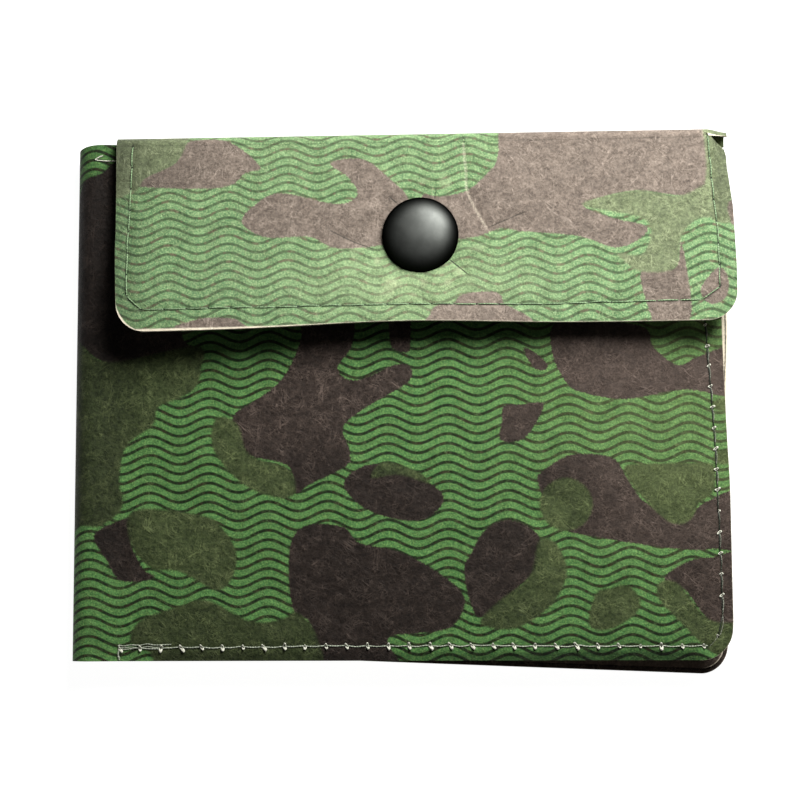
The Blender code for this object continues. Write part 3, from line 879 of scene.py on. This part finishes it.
# Printed sheets: inks, width of the lines, stitch, length and width of its slits, and shine
LOOKS = {
    "front": printed_sheet("printed_front", FRONT_INKS, 0.50, STITCH, (0.30, 0.22), 0.12),
    "back": printed_sheet("printed_back", FRONT_INKS, 0.50, STITCH, (0.30, 0.22), 0.12),
    "flap": printed_sheet("printed_flap_with_sheen", FLAP_INKS_WITH_SHEEN, 0.44, FLAP_STITCH, (0.75, 0.17), 0.22),
    "plain": plain_sheet("plain_side", srgb(214, 208, 190)),
    "cut": plain_sheet("cut_edge", CREAM, 0.7),
    "lining": plain_sheet("lining", srgb(206, 200, 180)),
    "white_thread": thread_look("white_thread", srgb(222, 222, 208), srgb(150, 152, 138)),
    "worn_thread": thread_look("worn_thread", srgb(184, 190, 174), srgb(104, 112, 96)),
    "pale_thread": thread_look("pale_thread", srgb(148, 174, 134), srgb(66, 88, 60)),
    "side_thread": thread_look("side_thread", srgb(150, 152, 138), srgb(58, 62, 52)),
    "dark_thread": thread_look("dark_thread", srgb(34, 44, 32), srgb(12, 18, 12)),
    # the cap's rim value 0.06 paints shade at its edge
    "cap": metal_look("black_lacquer", (0.088, 0.093, 0.088), 0.50, 0.1, 0.06),
    "steel": metal_look("snap_steel", (0.55, 0.54, 0.51), 0.26),
}


def looks(face, under="plain"):
    """A sheet's three looks: its face, its other side and its cut edge."""
    return [LOOKS[face], LOOKS[under], LOOKS["cut"]]


# --- outer sheets


def print_waves(u, v, waves, stray=(0, 0, 0, 0)):
    """The count of wavy lines from below, whole on a line, and the distance between lines."""
    crest, length, height, pitch, level = waves
    turn = (u - crest) * 2 * math.pi / length
    half_width, middle, half_height = FLAP_MIDDLE
    x, y = u / half_width, (v - middle) / half_height
    off = stray[0] * x + stray[1] * x**3 + stray[2] * y**2 + stray[3] * x**2 * y
    count = (v - level - height * np.cos(turn)) / pitch + off
    slope = height * 2 * math.pi / length * np.sin(turn)
    return np.stack([count, pitch / np.sqrt(1 + slope**2), np.zeros(u.shape)], -1)


def print_attributes(u, v, brown, olive, wave, creases=(), seams=(), rim=None, wear_and_sheen=0.0, shade=1.0):
    """What a printed sheet's look reads at each point."""
    signed, strength, _ = crease_field(u, v, creases)
    line, place = np.full(u.shape, FAR), np.zeros(u.shape)
    for seam in seams:
        distance, along = seam_place(u, v, *seam)
        place = np.where(distance < line, along, place)
        line = np.minimum(distance, line)
    return {
        "brown": print_distance(u, v, brown),
        "olive": print_distance(u, v, olive),
        "wave": wave,
        "crease": signed,
        "crease_on": strength,
        "seam": np.stack([line, place, np.zeros(u.shape)], -1),
        "rim": np.full(u.shape, FAR) if rim is None else rim,
        "wear_and_sheen": np.zeros(u.shape) + wear_and_sheen,
        "shade": np.zeros(u.shape) + shade,
    }


SPINE_FLAT = SPINE_FOLD_X - SPINE_R * QUARTER - (FRONT_TOP - SPINE_R - SPINE_MID_Z)
FRONT_SEAMS = ((BOTTOM_SEAM, STITCH, 0.0), (RIGHT_SEAM, STITCH, RIGHT_START))


def front_shade(u, v):
    """Painted shade on the front, 1 where there is none: the patches towards the bottom and by the spine, the
    bottom margin, the lower right and the top left are darker, where less light falls.
    """
    brown, olive = print_distance(u, v, FRONT_BROWN), print_distance(u, v, FRONT_OLIVE)
    below = np.where(brown < olive, 0.64 * fade(-14, -2, v), 0.38 * fade(-38, -24, v))
    below *= fade(20, 37, u)
    beside = np.where(brown < olive, 1.0, 0.62) * fade(-49.5, -38, u)
    shade = 1 - np.maximum(below, beside) * fade(-0.4, 0.4, np.minimum(brown, olive))
    margin = fade(-41.4, -40.0, v) * smoothstep(-43, -37, u) * fade(46, 50, u)
    shade -= margin * (0.3 + 0.5 * smoothstep(-8, 12, u))
    shade -= 0.45 * fade(-40.5, -35, v) * smoothstep(12, 26, u) * fade(44, 50, u)
    shade -= 0.45 * fade(-51, -42, u) * smoothstep(28, 35, v)
    return np.maximum(shade, 0)


def front_sheet():
    """The front panel, bent round to the middle of the spine. Its free edge bows out below and in above."""
    pitch = 0.42
    rows = corner_rows(FRONT_LOW[1], FRONT_HIGH[1], pitch, CORNER_R, TOP_CORNER_R)
    right = FRONT_HIGH[0] - 0.36 * smoothstep(-6, 14, rows)
    right += 0.4 * smoothstep(-42, -35, rows) * fade(-16, -2, rows)
    right -= corners_in(rows, FRONT_LOW[1], FRONT_HIGH[1], CORNER_R)
    left = np.full(rows.shape, SPINE_FLAT)
    u = across(left, right, pitch, (SPINE_FLAT, FRONT_HIGH[0] - CORNER_R - 1))
    v = np.broadcast_to(rows[:, None], u.shape)
    v = v - 0.9 * fade(SPINE_LOW[0] - 3, SPINE_FOLD_X + 1.5, u) * smoothstep(38, FRONT_HIGH[1], v)
    rim = right[:, None] - u
    wave = print_waves(u, v, FRONT_WAVES)
    # painted sheen: the front grows paler towards its upper right
    wear_and_sheen = 0.26 * smoothstep(2, 44, u) * smoothstep(-44, 8, v)
    # painted shade: front_shade darkens the front where less light falls
    shade = front_shade(u, v)
    paint = print_attributes(u, v, FRONT_BROWN, FRONT_OLIVE, wave, (), FRONT_SEAMS, rim, wear_and_sheen, shade)
    sides = [LOOKS["front"], LOOKS["plain"], LOOKS["front"]]
    obj = shell("front_sheet", u, v, front_place, sides, attributes=paint)
    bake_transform(obj)
    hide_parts("front_outer_panel", "spine_outer_panel")


def mirrored(outlines):
    """The print's patches for the back, the other way round."""
    return [[(-x, y) for x, y in outline] for outline in outlines]


BACK_BROWN = mirrored(FRONT_BROWN) + [blob(2, -50, 4, -41.6, 34, -41.2, 46, -37, 60, -30, 60, -50)]
BACK_OLIVE = mirrored(FRONT_OLIVE[:3] + FRONT_OLIVE[4:])  # the fourth gives way to brown along the edge
BACK_DROP_X = -20.0  # from here the back's bottom edge slopes down


def back_bottom(u):
    """The back leaf's bottom edge, which hangs lower towards the free corner."""
    drop = FRONT_LOW[1] - BACK_LOW[1]
    share = np.clip((u - BACK_DROP_X) / (BACK_HIGH[0] - 4 - BACK_DROP_X), 0, 1)
    return FRONT_LOW[1] + 0.25 - (drop + 0.25) * share


def back_sheet():
    """The back panel, bent round to the middle of the spine. Its free corner hangs lower."""
    tall = 86.0  # about its height: rows count from 0 at the bottom edge to 1
    rows = corner_rows(0.0, 1.0, 0.42 / tall, CORNER_R / tall, TOP_CORNER_R / tall)
    right = BACK_HIGH[0] - 0.2 * (1 - rows) - corners_in(rows * tall, 0.0, tall, CORNER_R - 0.1)
    left = np.full(rows.shape, SPINE_FLAT)
    u = across(left, right, 0.5, (SPINE_FLAT, BACK_HIGH[0] - CORNER_R - 1.5))
    bottom = back_bottom(u)
    v = bottom + (BACK_HIGH[1] - bottom) * rows[:, None]
    rim = np.minimum(right[:, None] - u, v - bottom)
    wave = print_waves(-u, v, FRONT_WAVES)
    seams = ((BACK_SEAM, STITCH, 0.0),)
    paint = print_attributes(u, v, BACK_BROWN, BACK_OLIVE, wave, (), seams, rim)
    obj = shell("back_sheet", u, v, back_place, looks("back", "back"), side=-1, attributes=paint)
    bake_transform(obj)
    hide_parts("back_outer_panel")


# How far in the flap's right edge is at each height: it has a notch where the fold starts
FLAP_NOTCH = (
    (-99, 0), (21.0, 0.0), (31.0, 0.4), (37.6, 1.2), (39.9, 1.3), (41.1, 1.6), (42.5, 3.2), (43.35, 3.95),
    (43.45, 1.1), (99, 1.1),
)


def flap_grid(pitch, top, inset=0.0):
    """Flat coordinates over the flap up to the row at top. Its edge is askew and drawn up at the snap."""
    low = FLAP_LOW[1] + inset
    rows = corner_rows(low, top, pitch, CORNER_R)
    if top > FLAP_START_Y:
        rows = np.unique(np.concatenate([rows, [y for y, _ in FLAP_NOTCH if low < y < top]]))
    corner = corner_in(rows, low, CORNER_R)
    left = FLAP_LOW[0] + corner + 0.4 + 0.25 * fade(low, 40, rows) + 0.12 * lattice(0 * rows, rows, 5, 17)
    right = FLAP_HIGH[0] - np.interp(rows, *np.transpose(FLAP_NOTCH)) - corner
    u = across(left + inset, right - inset, pitch, (FLAP_LOW[0] + CORNER_R + 1, FLAP_HIGH[0] - CORNER_R - 1))
    share = (u - FLAP_LOW[0]) / (FLAP_HIGH[0] - FLAP_LOW[0])
    lift = 0.95 * share - 0.3 + 0.9 * np.exp(-(((share - 0.47) / 0.2) ** 2))
    v = rows[:, None] + lift * fade(low, FLAP_START_Y - 4, rows)[:, None]
    rim = np.minimum(np.minimum(right[:, None] - inset - u, u - left[:, None] - inset), rows[:, None] - low)
    return u, v, rim


def flap_sheet():
    """The flap's printed skin and the fold's upper half."""
    u, v, rim = flap_grid(0.30, FLAP_CROWN)
    wave = print_waves(u, v, FLAP_WAVES, FLAP_STRAY)
    seams = ((FLAP_SEAM, FLAP_STITCH, FLAP_START),)
    wear_and_sheen = 0.30 * np.exp(-(((u - 3) / 22) ** 2) - ((v - 19) / 7) ** 2) + 0.08 * smoothstep(28, 42, v)
    near_cap = np.exp(-(((np.hypot(u - SNAP_X, v - SNAP_Y) - 8.5) / 2.6) ** 2))
    wear_and_sheen += 0.4 * near_cap * smoothstep(0.1, 0.7, lattice(u, v, 1.9, 77))
    # painted shade: the flap is darker along its left edge, beyond the seam at its upper right, at its top
    # left and over its lower left half
    shade = 1 - 0.6 * fade(-49, -39, u) - 0.45 * smoothstep(50.6, 51.4, u) * smoothstep(27, 34, v)
    shade -= 0.32 * fade(-40, -28, u) * smoothstep(33, 38, v)
    shade -= 0.14 * fade(-30, -8, u) * fade(30, 35, v)
    bare = fade(-40, -4, u) * fade(13.2, 16.5, v)
    rim = rim + 0.1 * smoothstep(14, 20, v) - 0.36 * bare
    paint = print_attributes(u, v, FLAP_BROWN, FLAP_OLIVE, wave, FLAP_CREASES, seams, rim, wear_and_sheen, shade)
    obj = shell("flap_sheet", u, v, flap_place, looks("flap"), attributes=paint)
    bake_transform(obj)
    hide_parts("flap_outer_panel", "flap_fold_strip")


def flap_inner():
    """The flap's lining, just under the outer skin."""
    u, v, _ = flap_grid(0.6, FLAP_START_Y - 0.8, 0.12)

    def place(x, y):
        spot = flap_place(x, y)
        spot[..., 1] -= 0.12
        spot[..., 2] -= SHEET + 0.04
        return spot

    obj = shell("flap_inner", u, v, place, looks("lining", "lining"))
    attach(obj, "flap")
    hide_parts("flap_lining")


def rear_wall():
    """The coin pocket's rear wall, which goes on round the fold to meet the flap."""
    crown = FOLD_START_Y + FOLD_R * QUARTER
    rows = corner_rows(WALL_LOW[1], crown, 0.6, CORNER_R)
    out = 0.75 * smoothstep(-8, 12, rows)
    edge = WALL_HIGH[0] + out - 2.2 * smoothstep(30, 36, rows)
    edge = np.where(rows > FOLD_START_Y - 0.5, FLAP_HIGH[0] - 1.1, edge)
    left_edge = np.interp(rows, [FOLD_START_Y - 1.5, FOLD_START_Y], [WALL_LOW[0], FLAP_LOW[0]])
    right = edge - corner_in(rows, WALL_LOW[1], CORNER_R)
    u = across(left_edge, right, 0.6, (FLAP_LOW[0] + 1, WALL_HIGH[0] - CORNER_R - 1))
    v = np.broadcast_to(rows[:, None], u.shape)
    wave = print_waves(u, v, FLAP_WAVES, FLAP_STRAY)
    gap = right[:, None] - u - 0.30
    paint = print_attributes(u, v, FLAP_BROWN, FLAP_OLIVE, wave, rim=gap - 1.2 + FAR * smoothstep(28, 34, v))
    # painted shadow: a dark line 0.3 mm in from the wall's right edge, below the fold
    paint["crease"], paint["crease_on"] = gap, -fade(28, 34, v)
    obj = shell("coin_pocket_wall", u, v, wall_place, looks("flap", "back"), side=-1, attributes=paint)
    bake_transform(obj)
    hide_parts("coin_pocket_rear_wall")


# --- sheets inside


def inner_sheets():
    """Linings, printed like the outside, and plain card pockets."""
    nodes = [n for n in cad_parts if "card_pocket" in n or n.endswith("_lining") and n != "flap_lining"]
    for seed, node in enumerate(sorted(nodes)):
        low, high = box_mm(node)
        if node == "spine_lining":
            body = "spine"
            obj = spine_inner(low, high)
        else:
            body = node.split("_")[0] + "_leaf"
            obj = leaf_inner(node, low, high, seed)
        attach(obj, body)
        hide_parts(node)


def leaf_inner(node, low, high, seed):
    """A leaf's lining or a card pocket, with slight waves. A pocket's top edge dips in the middle."""
    pocket = "card" in node
    radius = CORNER_R - 0.9
    rows = corner_rows(low[1], high[1], 1.0, radius, TOP_CORNER_R)
    right = high[0] - corners_in(rows, low[1], high[1], radius)
    u = across(np.full(rows.shape, low[0]), right, 1.0, (low[0], high[0] - radius - 1))
    dip = 0.5 * np.cos((u - low[0]) / (high[0] - low[0]) * 2 * math.pi) - 0.5
    v = rows[:, None] + dip * smoothstep(high[1] - 15, high[1], rows)[:, None] * pocket
    if node.startswith("back"):
        v = v + (back_bottom(u) - BACK_LOW[1]) * ((high[1] - v) / (high[1] - low[1]))

    def place(x, y):
        wave = 0.07 * lattice(x, y, 17, 40 + seed) + 0.02 * lattice(x, y, 5, 60 + seed)
        return np.stack([x, y, high[2] + wave], -1)

    sides, paint = looks("lining", "lining"), None
    if not pocket:
        wave = print_waves(u, v, FRONT_WAVES)
        rim = np.where(u > 46, right[:, None] - u - 0.16, FAR) if node == "back_lining" else None
        wear_and_sheen = 0.5 * fade(-42, -38, v)
        paint = print_attributes(u, v, BACK_BROWN, BACK_OLIVE, wave, rim=rim, wear_and_sheen=wear_and_sheen)
        sides = looks("back", "back")
    return shell(node + "_sheet", u, v, place, sides, thickness=high[2] - low[2], attributes=paint)


def spine_inner(low, high):
    """The spine's lining: a shallow trough inside the bend."""
    rows = np.linspace(low[1], high[1], 60)
    u = np.broadcast_to(np.linspace(low[2], high[2], 10), (60, 10))
    v = np.broadcast_to(rows[:, None], u.shape)

    def place(x, y):
        share = (x - low[2]) / (high[2] - low[2])
        bow = 0.12 * lattice(x, y, 9, 71) + 0.25 * np.sin(math.pi * share)
        return np.stack([high[0] - bow, y, x], -1)

    return shell("spine_lining_sheet", u, v, place, looks("lining", "lining"), side=-1)


# --- threads


def cross_directions(path):
    """Two directions at right angles to a path and to each other, at each of its points."""
    ahead = np.gradient(path, axis=0)
    ahead /= np.maximum(np.linalg.norm(ahead, axis=1, keepdims=True), 1e-9)
    up = np.where(np.abs(ahead[:, 2:3]) > 0.9, [[1.0, 0, 0]], [[0, 0, 1.0]])
    aside = np.cross(ahead, up)
    aside /= np.linalg.norm(aside, axis=1, keepdims=True)
    return aside, np.cross(aside, ahead)


def tube(path, radius, sides=6):
    """Vertices and faces of a closed tube along a path."""
    aside, over = cross_directions(path)
    turn = np.arange(sides) / sides * 2 * math.pi
    size = np.broadcast_to(np.asarray(radius, float), (len(path),))[:, None, None]
    ring = aside[:, None] * np.cos(turn)[None, :, None] + over[:, None] * np.sin(turn)[None, :, None]
    verts = (path[:, None] + ring * size).reshape(-1, 3)
    faces = []
    for i in range(len(path) - 1):
        for k in range(sides):
            a, b = i * sides + k, i * sides + (k + 1) % sides
            faces.append((a, b, b + sides, a + sides))
    faces.append(tuple(range(sides))[::-1])
    last = (len(path) - 1) * sides
    faces.append(tuple(range(last, last + sides)))
    return verts, faces


def joined(name, parts, look, body, slot, *nodes):
    """One object from several (verts, faces)."""
    verts, faces, first = [], [], 0
    for v, f in parts:
        verts.append(v)
        faces += [tuple(first + i for i in face) for face in f]
        first += len(v)
    obj = new_mesh(name, np.concatenate(verts), faces)
    obj.data.materials.append(LOOKS[look])
    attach(obj, body)
    if nodes:
        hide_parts(*nodes)


def yarn(path, radius):
    """Two plies twisted round a path."""
    pitch, plies = 0.9, 2
    aside, over = cross_directions(path)
    parts = []
    for k in range(plies):
        turn = 2 * math.pi * (path_lengths(path) / pitch + k / plies)
        off = aside * np.cos(turn)[:, None] + over * np.sin(turn)[:, None]
        parts.append(tube(path + off * radius * 0.5, radius * 0.62))
    return parts


def on_sheet(xy, place, lift):
    """Points on a sheet's surface, raised by lift."""
    spot = place(xy[:, 0][None, :], xy[:, 1][None, :])[0]
    spot[:, 2] += lift
    return spot


def stitch_runs(holes, place, radius, sink, arch, sway, seed):
    """A yarn from each hole to the next: it dips into both and lies on the sheet between them."""
    rng = np.random.default_rng(seed)
    parts = []
    for a, b in zip(holes[0][:-1], holes[0][1:]):
        t = np.linspace(0, 1, 15)
        side = np.array([-(b - a)[1], (b - a)[0]]) / max(np.hypot(*(b - a)), 1e-9)
        xy = a + (b - a) * t[:, None] + side * (np.sin(math.pi * t) * rng.normal(0, sway))[:, None]
        rise = radius + arch * np.sin(math.pi * t) - sink * (np.exp(-t / 0.07) + np.exp(-(1 - t) / 0.07))
        parts += yarn(on_sheet(xy, place, rise), radius)
    return parts


def knots(holes, place, size, spread, seed, skip=0.0):
    """Small loops of yarn that stand out on both sides of a seam where the threads lock."""
    rng = np.random.default_rng(seed)
    parts = []
    for hole, along in zip(*holes):
        side = np.array([-along[1], along[0]])
        for sign in (-1, 1):
            scale = rng.uniform(0.55, 1.15)
            lean = rng.normal(0.15, 0.3) - 0.35 * sign
            if rng.uniform() < skip:
                continue
            t = np.linspace(0, 1, 9)
            out = np.sin(math.pi * t) * spread * scale
            shift = (t - 0.5) * size * 1.6 + lean * out
            xy = hole + side * (sign * out)[:, None] + along * shift[:, None]
            lift = 0.06 + np.sin(math.pi * t) * size * 0.9
            slim = 0.6 if sign > 0 else 1.0  # loops on the left of the seam's direction are slimmer
            thick = size * (0.32 + 0.34 * np.sin(math.pi * t)) * scale * slim
            parts.append(tube(on_sheet(xy, place, lift), thick, 8))
    return parts


def bottom_thread():
    """White thread along the bottom, with its backtack and its end, and its knots."""
    step = 0.25
    run, _ = walk(BOTTOM_SEAM, step)
    sway = 0.11 * lattice(run[:, 0], run[:, 1], 1.9, 24)
    run[:, 1] += sway + 0.05 * np.sin(run[:, 0] * 2 * math.pi / STITCH)
    parts = yarn(on_sheet(run, front_place, 0.10 + 0.03 * np.sin(run[:, 0] * 1.9)), 0.095)
    for shift in (0.35, 0.75):
        tack, _ = walk(BOTTOM_SEAM[:2] + np.array([0.0, shift]), step)
        tack = tack[: int((6.5 + 3 * shift) / step)]
        tack[:, 1] += 0.28 * lattice(tack[:, 0], tack[:, 1], 1.3, 25) - 0.15
        parts += yarn(on_sheet(tack, front_place, 0.08 + 0.05 * np.sin(tack[:, 0] * 3)), 0.08)
    down = np.stack([np.full(9, -46.3) + 0.1 * np.sin(np.arange(9)), np.linspace(-39.4, -41.8, 9)], 1)
    parts += yarn(on_sheet(down, front_place, 0.14), 0.14)
    joined("front_bottom_thread", parts, "worn_thread", "front_leaf", "white_thread", "front_seam_thread")
    parts = knots(BOTTOM_HOLES, front_place, 0.29, 0.48, 21)
    joined("front_bottom_knots", parts, "white_thread", "front_leaf", "white_thread")


def side_thread():
    """A finer thread up the free edge, with fewer knots, over a dark yarn that stands for the shade in the
    seam's groove.
    """
    run, _ = walk(RIGHT_SEAM, 0.25)
    run[:, 0] += 0.12 + 0.10 * np.sin(run[:, 1] * 2 * math.pi / STITCH)
    parts = yarn(on_sheet(run, front_place, 0.03 + 0.09 * lattice(run[:, 0], run[:, 1], 1.7, 26)), 0.07)
    joined("front_side_thread", parts, "side_thread", "front_leaf", "white_thread")
    parts = knots(RIGHT_HOLES, front_place, 0.23, 0.36, 22, 0.1)
    joined("front_side_knots", parts, "white_thread", "front_leaf", "white_thread")
    # painted shade: a dark yarn sunk between the holes stands for the shaded groove along the seam
    dark = stitch_runs(RIGHT_HOLES, front_place, 0.10, 0.20, 0.02, 0.05, 23)
    joined("front_side_groove_shade", dark, "dark_thread", "front_leaf", "dark_thread")


def top_thread():
    """The seam under the fold. Only its first stitches, its loose end and two knots show beside the flap."""
    low, high = box_mm("top_seam_thread")
    y = (low[1] + high[1]) / 2
    end = blob(-47.2, y - 0.4, -49, y - 0.5, -51, y - 0.35, -50.7, y + 0.05, -49.9, y + 0.4)
    parts = yarn(on_sheet(smooth_curve(end, False), front_place, 0.12), 0.10)
    holes = walk(np.array([[low[0] + 4.0, y], [high[0], y]]), STITCH)
    parts += stitch_runs(holes, front_place, 0.12, 0.15, 0.05, 0.05, 31)
    parts += knots((holes[0][:2], holes[1][:2]), front_place, 0.34, 0.4, 32)
    joined("front_top_thread", parts, "white_thread", "front_leaf", "white_thread", "top_seam_thread")


def flap_thread():
    """The pale thread round the flap's border."""
    parts = stitch_runs(FLAP_HOLES, flap_place, 0.11, 0.26, 0.04, 0.06, 41)
    joined("flap_border_thread", parts, "pale_thread", "flap", "dark_thread", "flap_seam_thread")


def between_threads():
    """Threads that show only inside: round the back leaf and beside the card pockets."""
    for node, body in (
        ("back_seam_thread", "back_leaf"),
        ("back_pocket_thread", "back_leaf"),
        ("front_pocket_thread", "front_leaf"),
    ):
        low, high = box_mm(node)
        level = (low[2] + high[2]) / 2
        if node == "back_seam_thread":
            edge = high[0] - 0.1
            path = rounded_path([(low[0], low[1] + 0.1, 0), (edge, low[1] + 0.1, 2.4), (edge, high[1], 0)])
        else:
            x = (low[0] + high[0]) / 2
            path = np.array([(x, low[1]), (x, high[1])])

        def place(x, y, z=level):
            return np.stack([x, y, np.full(np.shape(x), z - 0.1)], -1)

        parts = stitch_runs(walk(path, STITCH), place, 0.10, 0.06, 0.03, 0.03, 51)
        joined(node + "_stitches", parts, "dark_thread", body, "dark_thread", node)


# --- snap

# Height of the flap's skin at the snap
SHEET_TOP = float(flap_place(np.array([[SNAP_X]]), np.array([[SNAP_Y]]))[0, 0, 2])


def turned(name, profile, look, body, node, steps=128):
    """A closed profile of (radius, z) turned round the snap's axis."""
    profile = np.array(profile, float)
    count = len(profile)
    turn = np.arange(steps) / steps * 2 * math.pi
    verts, rings = [], []
    for r, z in profile:
        if r < 1e-9:
            rings.append([len(verts)])
            verts.append((SNAP_X, SNAP_Y, z))
        else:
            rings.append(list(range(len(verts), len(verts) + steps)))
            verts += [(SNAP_X + r * math.cos(a), SNAP_Y + r * math.sin(a), z) for a in turn]
    faces = []
    for i in range(count):
        a, b = rings[i], rings[(i + 1) % count]
        for k in range(steps if len(a) + len(b) > 2 else 0):
            corners = (a[k % len(a)], a[(k + 1) % len(a)], b[(k + 1) % len(b)], b[k % len(b)])
            faces.append(tuple(dict.fromkeys(corners)))
    obj = new_mesh(name, verts, faces)
    obj.data.materials.append(LOOKS[look])
    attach(obj, body)
    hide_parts(node)


def cap():
    """A low dome with a turned-in rim."""
    lowest = SHEET_TOP - 0.15
    rise = CAP_HIGH[2] - SHEET_TOP - 0.45
    floor_z = SHEET_TOP + 0.1
    profile = [(0.0, floor_z), (CAP_R - 0.9, floor_z), (CAP_R - 0.35, lowest), (CAP_R - 0.08, lowest + 0.15)]
    steps = 24
    for step in range(steps + 1):
        angle = QUARTER * step / steps
        wide = CAP_R * math.cos(angle) ** 0.96 if step < steps else 0.0
        profile.append((wide, CAP_HIGH[2] - rise * (1 - math.sin(angle))))
    turned("snap_cap_dome", profile, "cap", "flap", "snap_cap")


def socket():
    """A ring with a rolled lip, under the flap."""
    low, high = box_mm("snap_socket")
    foot, top = low[2], SHEET_TOP - 2 * (SHEET + 0.04) + 0.02
    outer, bore, roof = (high[0] - low[0]) / 2, 2.35, top - 0.2
    profile = [(0.0, roof), (bore, roof), (bore + 0.05, foot + 0.35), (bore - 0.05, foot + 0.15)]
    profile += [(bore + 0.15, foot), (bore + 0.6, foot), (bore + 0.8, foot + 0.25)]
    profile += [(outer - 0.9, foot + 0.25), (outer - 0.6, foot), (outer - 0.2, foot + 0.05)]
    profile += [(outer, foot + 0.35), (outer, top - 0.1), (outer - 0.1, top), (0.0, top)]
    turned("snap_socket_ring", profile, "steel", "flap", "snap_socket", 64)


def stud():
    """A flange and a waisted post, on the front leaf."""
    low, high = box_mm("snap_stud")
    foot, top, flange = low[2], high[2], (high[0] - low[0]) / 2
    neck = foot + 0.25
    profile = [(0.0, foot), (flange - 0.1, foot), (flange, foot + 0.1), (flange - 0.1, neck - 0.02)]
    profile += [(flange - 0.8, neck), (2.2, neck), (1.75, neck + 0.1), (1.65, neck + 0.25)]
    profile += [(1.85, neck + 0.45), (1.9, neck + 0.52), (1.7, top - 0.08), (1.35, top)]
    profile += [(0.9, top - 0.02), (0.7, top - 0.2), (0.0, top - 0.22)]
    turned("snap_stud_post", profile, "steel", "front_leaf", "snap_stud", 64)


def rivet():
    """The stud's other half, inside the front leaf."""
    low, high = box_mm("snap_stud_rivet")
    foot, top, wide = low[2], high[2], (high[0] - low[0]) / 2
    profile = [(0.0, foot), (wide - 0.15, foot), (wide, foot + 0.08), (wide - 0.1, foot + 0.22)]
    profile += [(1.2, foot + 0.22), (1.1, foot + 0.3), (1.1, top), (0.0, top)]
    turned("snap_rivet", profile, "steel", "front_leaf", "snap_stud_rivet", 64)


# --- camera, floor and light


def camera():
    """Above the wallet, a little to its right and below."""
    tilt_x, tilt_y, roll = 0.105, 0.0524, -0.0042
    aim, distance = Vector((-0.665, 0.962, 0.0)), 300.0
    turn = Matrix.Rotation(tilt_y, 3, "Y") @ Matrix.Rotation(tilt_x, 3, "X") @ Matrix.Rotation(roll, 3, "Z")
    data = bpy.data.cameras.new("camera")
    data.sensor_width = 36.0
    data.lens = 80.66
    data.clip_start = 0.01
    made = linked("camera", data)
    made.location = (aim + turn @ Vector((0, 0, distance))) * MM
    made.rotation_mode = "QUATERNION"
    made.rotation_quaternion = turn.to_quaternion()
    bpy.context.scene.camera = made


def floor():
    """A wide pale floor that glows, so that it stays white under a soft light."""
    half, drop = 4.0, 0.0002
    mesh = bpy.data.meshes.new("floor")
    corners = [(-half, -half, 0), (half, -half, 0), (half, half, 0), (-half, half, 0)]
    mesh.from_pydata(corners, [], [(0, 1, 2, 3)])
    made = linked("floor", mesh)
    made.location = (0, 0, -drop)
    g = Graph("floor", 0.9, 0.0)
    g.colour((0.36, 0.36, 0.36))
    g.shader.inputs["Emission Color"].default_value = (1.0, 1.0, 1.0, 1.0)
    g.shader.inputs["Emission Strength"].default_value = 0.96
    mesh.materials.append(g.made)


def light():
    """A dim white room and one soft box beyond the fold."""
    scene = bpy.context.scene
    scene.world = bpy.data.worlds.new("studio")
    scene.world.use_nodes = True
    background = scene.world.node_tree.nodes["Background"]
    background.inputs["Color"].default_value = (1.0, 1.0, 1.0, 1.0)
    background.inputs["Strength"].default_value = 0.07
    place = Vector((0.10, 0.165, 0.175))
    data = bpy.data.lights.new("key", "AREA")
    data.shape = "SQUARE"
    data.size = 0.14
    data.energy = 1.74
    data.color = (1.0, 0.99, 0.96)
    made = linked("key", data)
    made.location = place
    made.rotation_mode = "QUATERNION"
    made.rotation_quaternion = (-place).to_track_quat("-Z", "Y")
    scene.view_settings.view_transform = "Standard"


def main():
    front_sheet()
    back_sheet()
    flap_sheet()
    flap_inner()
    rear_wall()
    inner_sheets()
    bottom_thread()
    side_thread()
    top_thread()
    flap_thread()
    between_threads()
    cap()
    socket()
    stud()
    rivet()
    camera()
    floor()
    light()


main()

bpy.context.view_layer.update()
